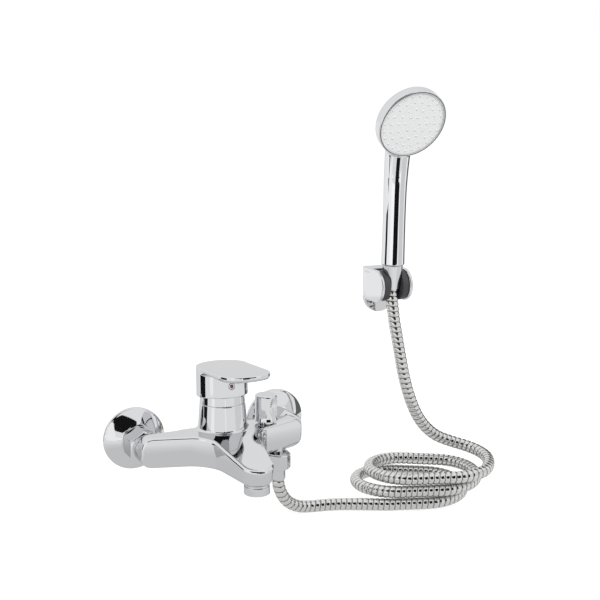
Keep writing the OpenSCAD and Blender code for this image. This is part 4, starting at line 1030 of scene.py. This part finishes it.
def add_dome(points, faces, x, y):
    """Adds one nozzle at a place on the spray face."""
    first = len(points)
    for r, z in NOZZLE_DOME:
        for k in range(NOZZLE_SIDES):
            a = 2 * math.pi * k / NOZZLE_SIDES
            points.append((x + r * math.cos(a), y + r * math.sin(a), z - FACE_SINK))
    for ring in range(len(NOZZLE_DOME) - 1):
        for k in range(NOZZLE_SIDES):
            low = first + ring * NOZZLE_SIDES
            m = (k + 1) % NOZZLE_SIDES
            faces.append((low + k, low + m, low + NOZZLE_SIDES + m, low + NOZZLE_SIDES + k))
    last = first + (len(NOZZLE_DOME) - 1) * NOZZLE_SIDES
    faces.append(tuple(range(last, last + NOZZLE_SIDES)))
    faces.append(tuple(range(first, first + NOZZLE_SIDES))[::-1])


def build_face_rim_shade():
    """A thin dark ring of painted shade in the groove between the shell's rim and the trim ring."""
    turns = [2 * math.pi * k / RIM_SHADE_POINTS for k in range(RIM_SHADE_POINTS)]
    profile = [(FACE_R + RIM_SHADE_R * math.cos(a), RIM_SHADE_R * math.sin(a) - RIM_SHADE_SINK) for a in turns]
    put(lathe("face_rim_shade", profile, face_frame(), RIM_SHADE_SIDES), DARK, "handset", "dark_plastic")


def build_bracket():
    housing = form_mesh("bracket_shell", bracket_form, *BRACKET_BOX, BRACKET_STEP)
    put(housing, CHROME, "mixer", "plated_plastic", "bracket_housing")
    barrel = form_mesh("bracket_insert", barrel_form, *BARREL_BOX, BARREL_STEP)
    put(barrel, DARK, "barrel", "dark_plastic", "bracket_barrel")


# Stage

def seen_directly(nodes, links):
    """1 for rays from the camera, from reflections and through clear matter, 0 for other light."""
    path = nodes.new("ShaderNodeLightPath")
    seen = nodes.new("ShaderNodeMath")
    seen.operation = "MAXIMUM"
    links.new(path.outputs["Is Camera Ray"], seen.inputs[0])
    links.new(path.outputs["Is Glossy Ray"], seen.inputs[1])
    every = nodes.new("ShaderNodeMath")
    every.operation = "MAXIMUM"
    links.new(seen.outputs["Value"], every.inputs[0])
    links.new(path.outputs["Is Transmission Ray"], every.inputs[1])
    return every.outputs["Value"]


def bare_material(obj):
    """Gives a stage piece a material of its own, with nothing on its output yet."""
    mat = bpy.data.materials.new(obj.name)
    mat.use_nodes = True
    nodes, links = mat.node_tree.nodes, mat.node_tree.links
    nodes.remove(nodes["Principled BSDF"])
    obj.data.materials.append(mat)
    return nodes, links


def build_floor():
    """A white floor that keeps a faint shadow of the object."""
    corners = [(a * FLOOR_SIZE, b * FLOOR_SIZE, FLOOR_Z) for a, b in SQUARE]
    obj = make_mesh("studio_floor", corners, [(0, 1, 2, 3)])
    nodes, links = bare_material(obj)
    matt = nodes.new("ShaderNodeBsdfDiffuse")
    matt.inputs["Color"].default_value = (FLOOR_TONE, FLOOR_TONE, FLOOR_TONE, 1)
    glow = nodes.new("ShaderNodeEmission")
    links.new(seen_directly(nodes, links), scaled(nodes, links, glow, FLOOR_GLOW))
    both = nodes.new("ShaderNodeAddShader")
    links.new(matt.outputs["BSDF"], both.inputs[0])
    links.new(glow.outputs["Emission"], both.inputs[1])
    links.new(both.outputs["Shader"], nodes["Material Output"].inputs["Surface"])


def scaled(nodes, links, glow, share):
    """The socket that sets a glow's strength, after a factor."""
    times = nodes.new("ShaderNodeMath")
    times.operation = "MULTIPLY"
    times.inputs[1].default_value = share
    links.new(times.outputs["Value"], glow.inputs["Strength"])
    return times.inputs[0]


def card(name, centre, width, height, facing, shade):
    """A plain board that only reflections see."""
    centre, facing = np.array(centre, float), np.array(facing, float)
    facing /= np.linalg.norm(facing)
    across = np.cross(facing, (0, 0, 1))
    across /= np.linalg.norm(across)
    up = np.cross(across, facing)
    corners = [centre + across * width / 2 * a + up * height / 2 * b for a, b in SQUARE]
    obj = make_mesh(name, corners, [(0, 1, 2, 3)], smooth=False)
    nodes, links = bare_material(obj)
    glow = nodes.new("ShaderNodeEmission")
    glow.inputs["Color"].default_value = (shade, shade, shade, 1)
    links.new(glow.outputs["Emission"], nodes["Material Output"].inputs["Surface"])
    only_reflected(obj)


def stand(name, centre, bearing, distance, low, high, width, shade):
    """A board that faces the centre, at a bearing in degrees from +X, from one height to another."""
    a = math.radians(bearing)
    away = distance * np.array((math.cos(a), math.sin(a), 0))
    place = np.array((*centre, (low + high) / 2)) + away
    card(name, place, width, high - low, -away, shade)


def build_floor_shade():
    """A grey patch on the floor that only reflections see, darkest below the object."""
    turns = [2 * math.pi * i / SHADE_SIDES for i in range(SHADE_SIDES)]
    ring = [(SHADE_REACH * math.cos(a), SHADE_REACH * math.sin(a), 0) for a in turns]
    obj = make_mesh("floor_shade", ring, [tuple(range(SHADE_SIDES))], smooth=False)
    obj.location = (*SHADE_CENTRE, FLOOR_Z + SHADE_LIFT)
    nodes, links = bare_material(obj)
    coords = nodes.new("ShaderNodeTexCoord")
    far = nodes.new("ShaderNodeVectorMath")
    far.operation = "LENGTH"
    links.new(coords.outputs["Object"], far.inputs[0])
    tone = nodes.new("ShaderNodeMapRange")
    tone.inputs["From Min"].default_value = SHADE_START
    tone.inputs["From Max"].default_value = SHADE_END
    tone.inputs["To Min"].default_value = SHADE_NEAR
    tone.inputs["To Max"].default_value = SHADE_FAR
    links.new(far.outputs["Value"], tone.inputs["Value"])
    glow = nodes.new("ShaderNodeEmission")
    links.new(tone.outputs["Result"], glow.inputs["Strength"])
    links.new(glow.outputs["Emission"], nodes["Material Output"].inputs["Surface"])
    only_reflected(obj)


def only_reflected(obj):
    """Hides a stage piece from everything but reflections."""
    obj.visible_camera = False
    obj.visible_diffuse = False
    obj.visible_shadow = False


def build_cards():
    """Boards by name, centre, bearing, distance, lower and upper height, width and tone."""
    tower, handle = TOWER_PLACE, HANDLE_PLACE
    foot = FLOOR_Z + BOARD_LIFT
    stand("board_back_left", tower, 155, 0.42, foot, 0.12, 0.24, BLACK_BOARD)
    stand("board_front", handle, -98, 0.85, -0.035, 0.6, 0.64, BLACK_BOARD)
    stand("board_neck", handle, -107, 0.4, 0.0, 0.28, 0.24, BLACK_BOARD)
    stand("board_right", tower, 15, 0.5, foot, 0.3, 0.22, 0.15)
    stand("board_pale", tower, -30, 0.55, foot, 0.25, 0.4, 0.82)
    stand("soft_box", tower, -158, 0.5, foot, 0.3, 0.14, 1.14)
    stand("soft_strip", tower, -97, 0.6, foot, 0.2, 0.05, 1.1)
    card("board_above", (-0.75, -1.95, 1.5), 2.9, 1.7, (0.68, 1.93, -1.48), BLACK_BOARD)


def build_light():
    world = bpy.data.worlds.new("studio")
    bpy.context.scene.world = world
    world.use_nodes = True
    nodes, links = world.node_tree.nodes, world.node_tree.links
    ground = nodes["Background"]
    ground.inputs["Color"].default_value = (1, 1, 1, 1)
    ground.inputs["Strength"].default_value = WORLD_SEEN
    soft = nodes.new("ShaderNodeBackground")
    soft.inputs["Color"].default_value = (1, 1, 1, 1)
    soft.inputs["Strength"].default_value = WORLD_LIGHT
    mix = nodes.new("ShaderNodeMixShader")
    links.new(seen_directly(nodes, links), mix.inputs["Fac"])
    links.new(soft.outputs["Background"], mix.inputs[1])
    links.new(ground.outputs["Background"], mix.inputs[2])
    links.new(mix.outputs["Shader"], nodes["World Output"].inputs["Surface"])
    lamp("key", KEY_AT, KEY_POWER)
    lamp("fill", FILL_AT, FILL_POWER)


def lamp(name, place, power):
    data = bpy.data.lights.new(name, "AREA")
    data.energy = power
    data.size = LAMP_SIZE
    obj = bpy.data.objects.new(name, data)
    bpy.context.scene.collection.objects.link(obj)
    direction = np.array(LAMP_TARGET) - np.array(place)
    obj.matrix_world = aim(place, direction)
    obj.visible_glossy = False


def aim(place, direction):
    """A frame at a place, whose -Z looks along a direction."""
    back = -np.array(direction, float) / np.linalg.norm(direction)
    right = np.cross((0, 0, 1), back)
    right /= np.linalg.norm(right)
    up = np.cross(back, right)
    turn = Matrix((right, up, back)).transposed().to_4x4()
    return Matrix.Translation(place) @ turn


def build_camera():
    data = bpy.data.cameras.new("photo_camera")
    data.lens = CAMERA_LENS
    data.sensor_width = CAMERA_SENSOR
    data.clip_end = CAMERA_FAR
    obj = bpy.data.objects.new("photo_camera", data)
    bpy.context.scene.collection.objects.link(obj)
    level = math.cos(CAMERA_TILT)
    back = np.array((math.sin(CAMERA_PAN) * level, -math.cos(CAMERA_PAN) * level, math.sin(CAMERA_TILT)))
    obj.matrix_world = aim(CAMERA_AT, -back)
    bpy.context.scene.camera = obj


build_camera()
dress_nodes()
build_hose()
build_body()
build_lever()
build_inlets()
build_tower_ring()
build_aerator()
build_knob()
build_outlet()
build_hand_shower()
build_nozzles()
build_face_rim_shade()
build_bracket()
build_floor()
build_floor_shade()
build_cards()
build_light()
bpy.context.scene.view_settings.view_transform = "Standard"
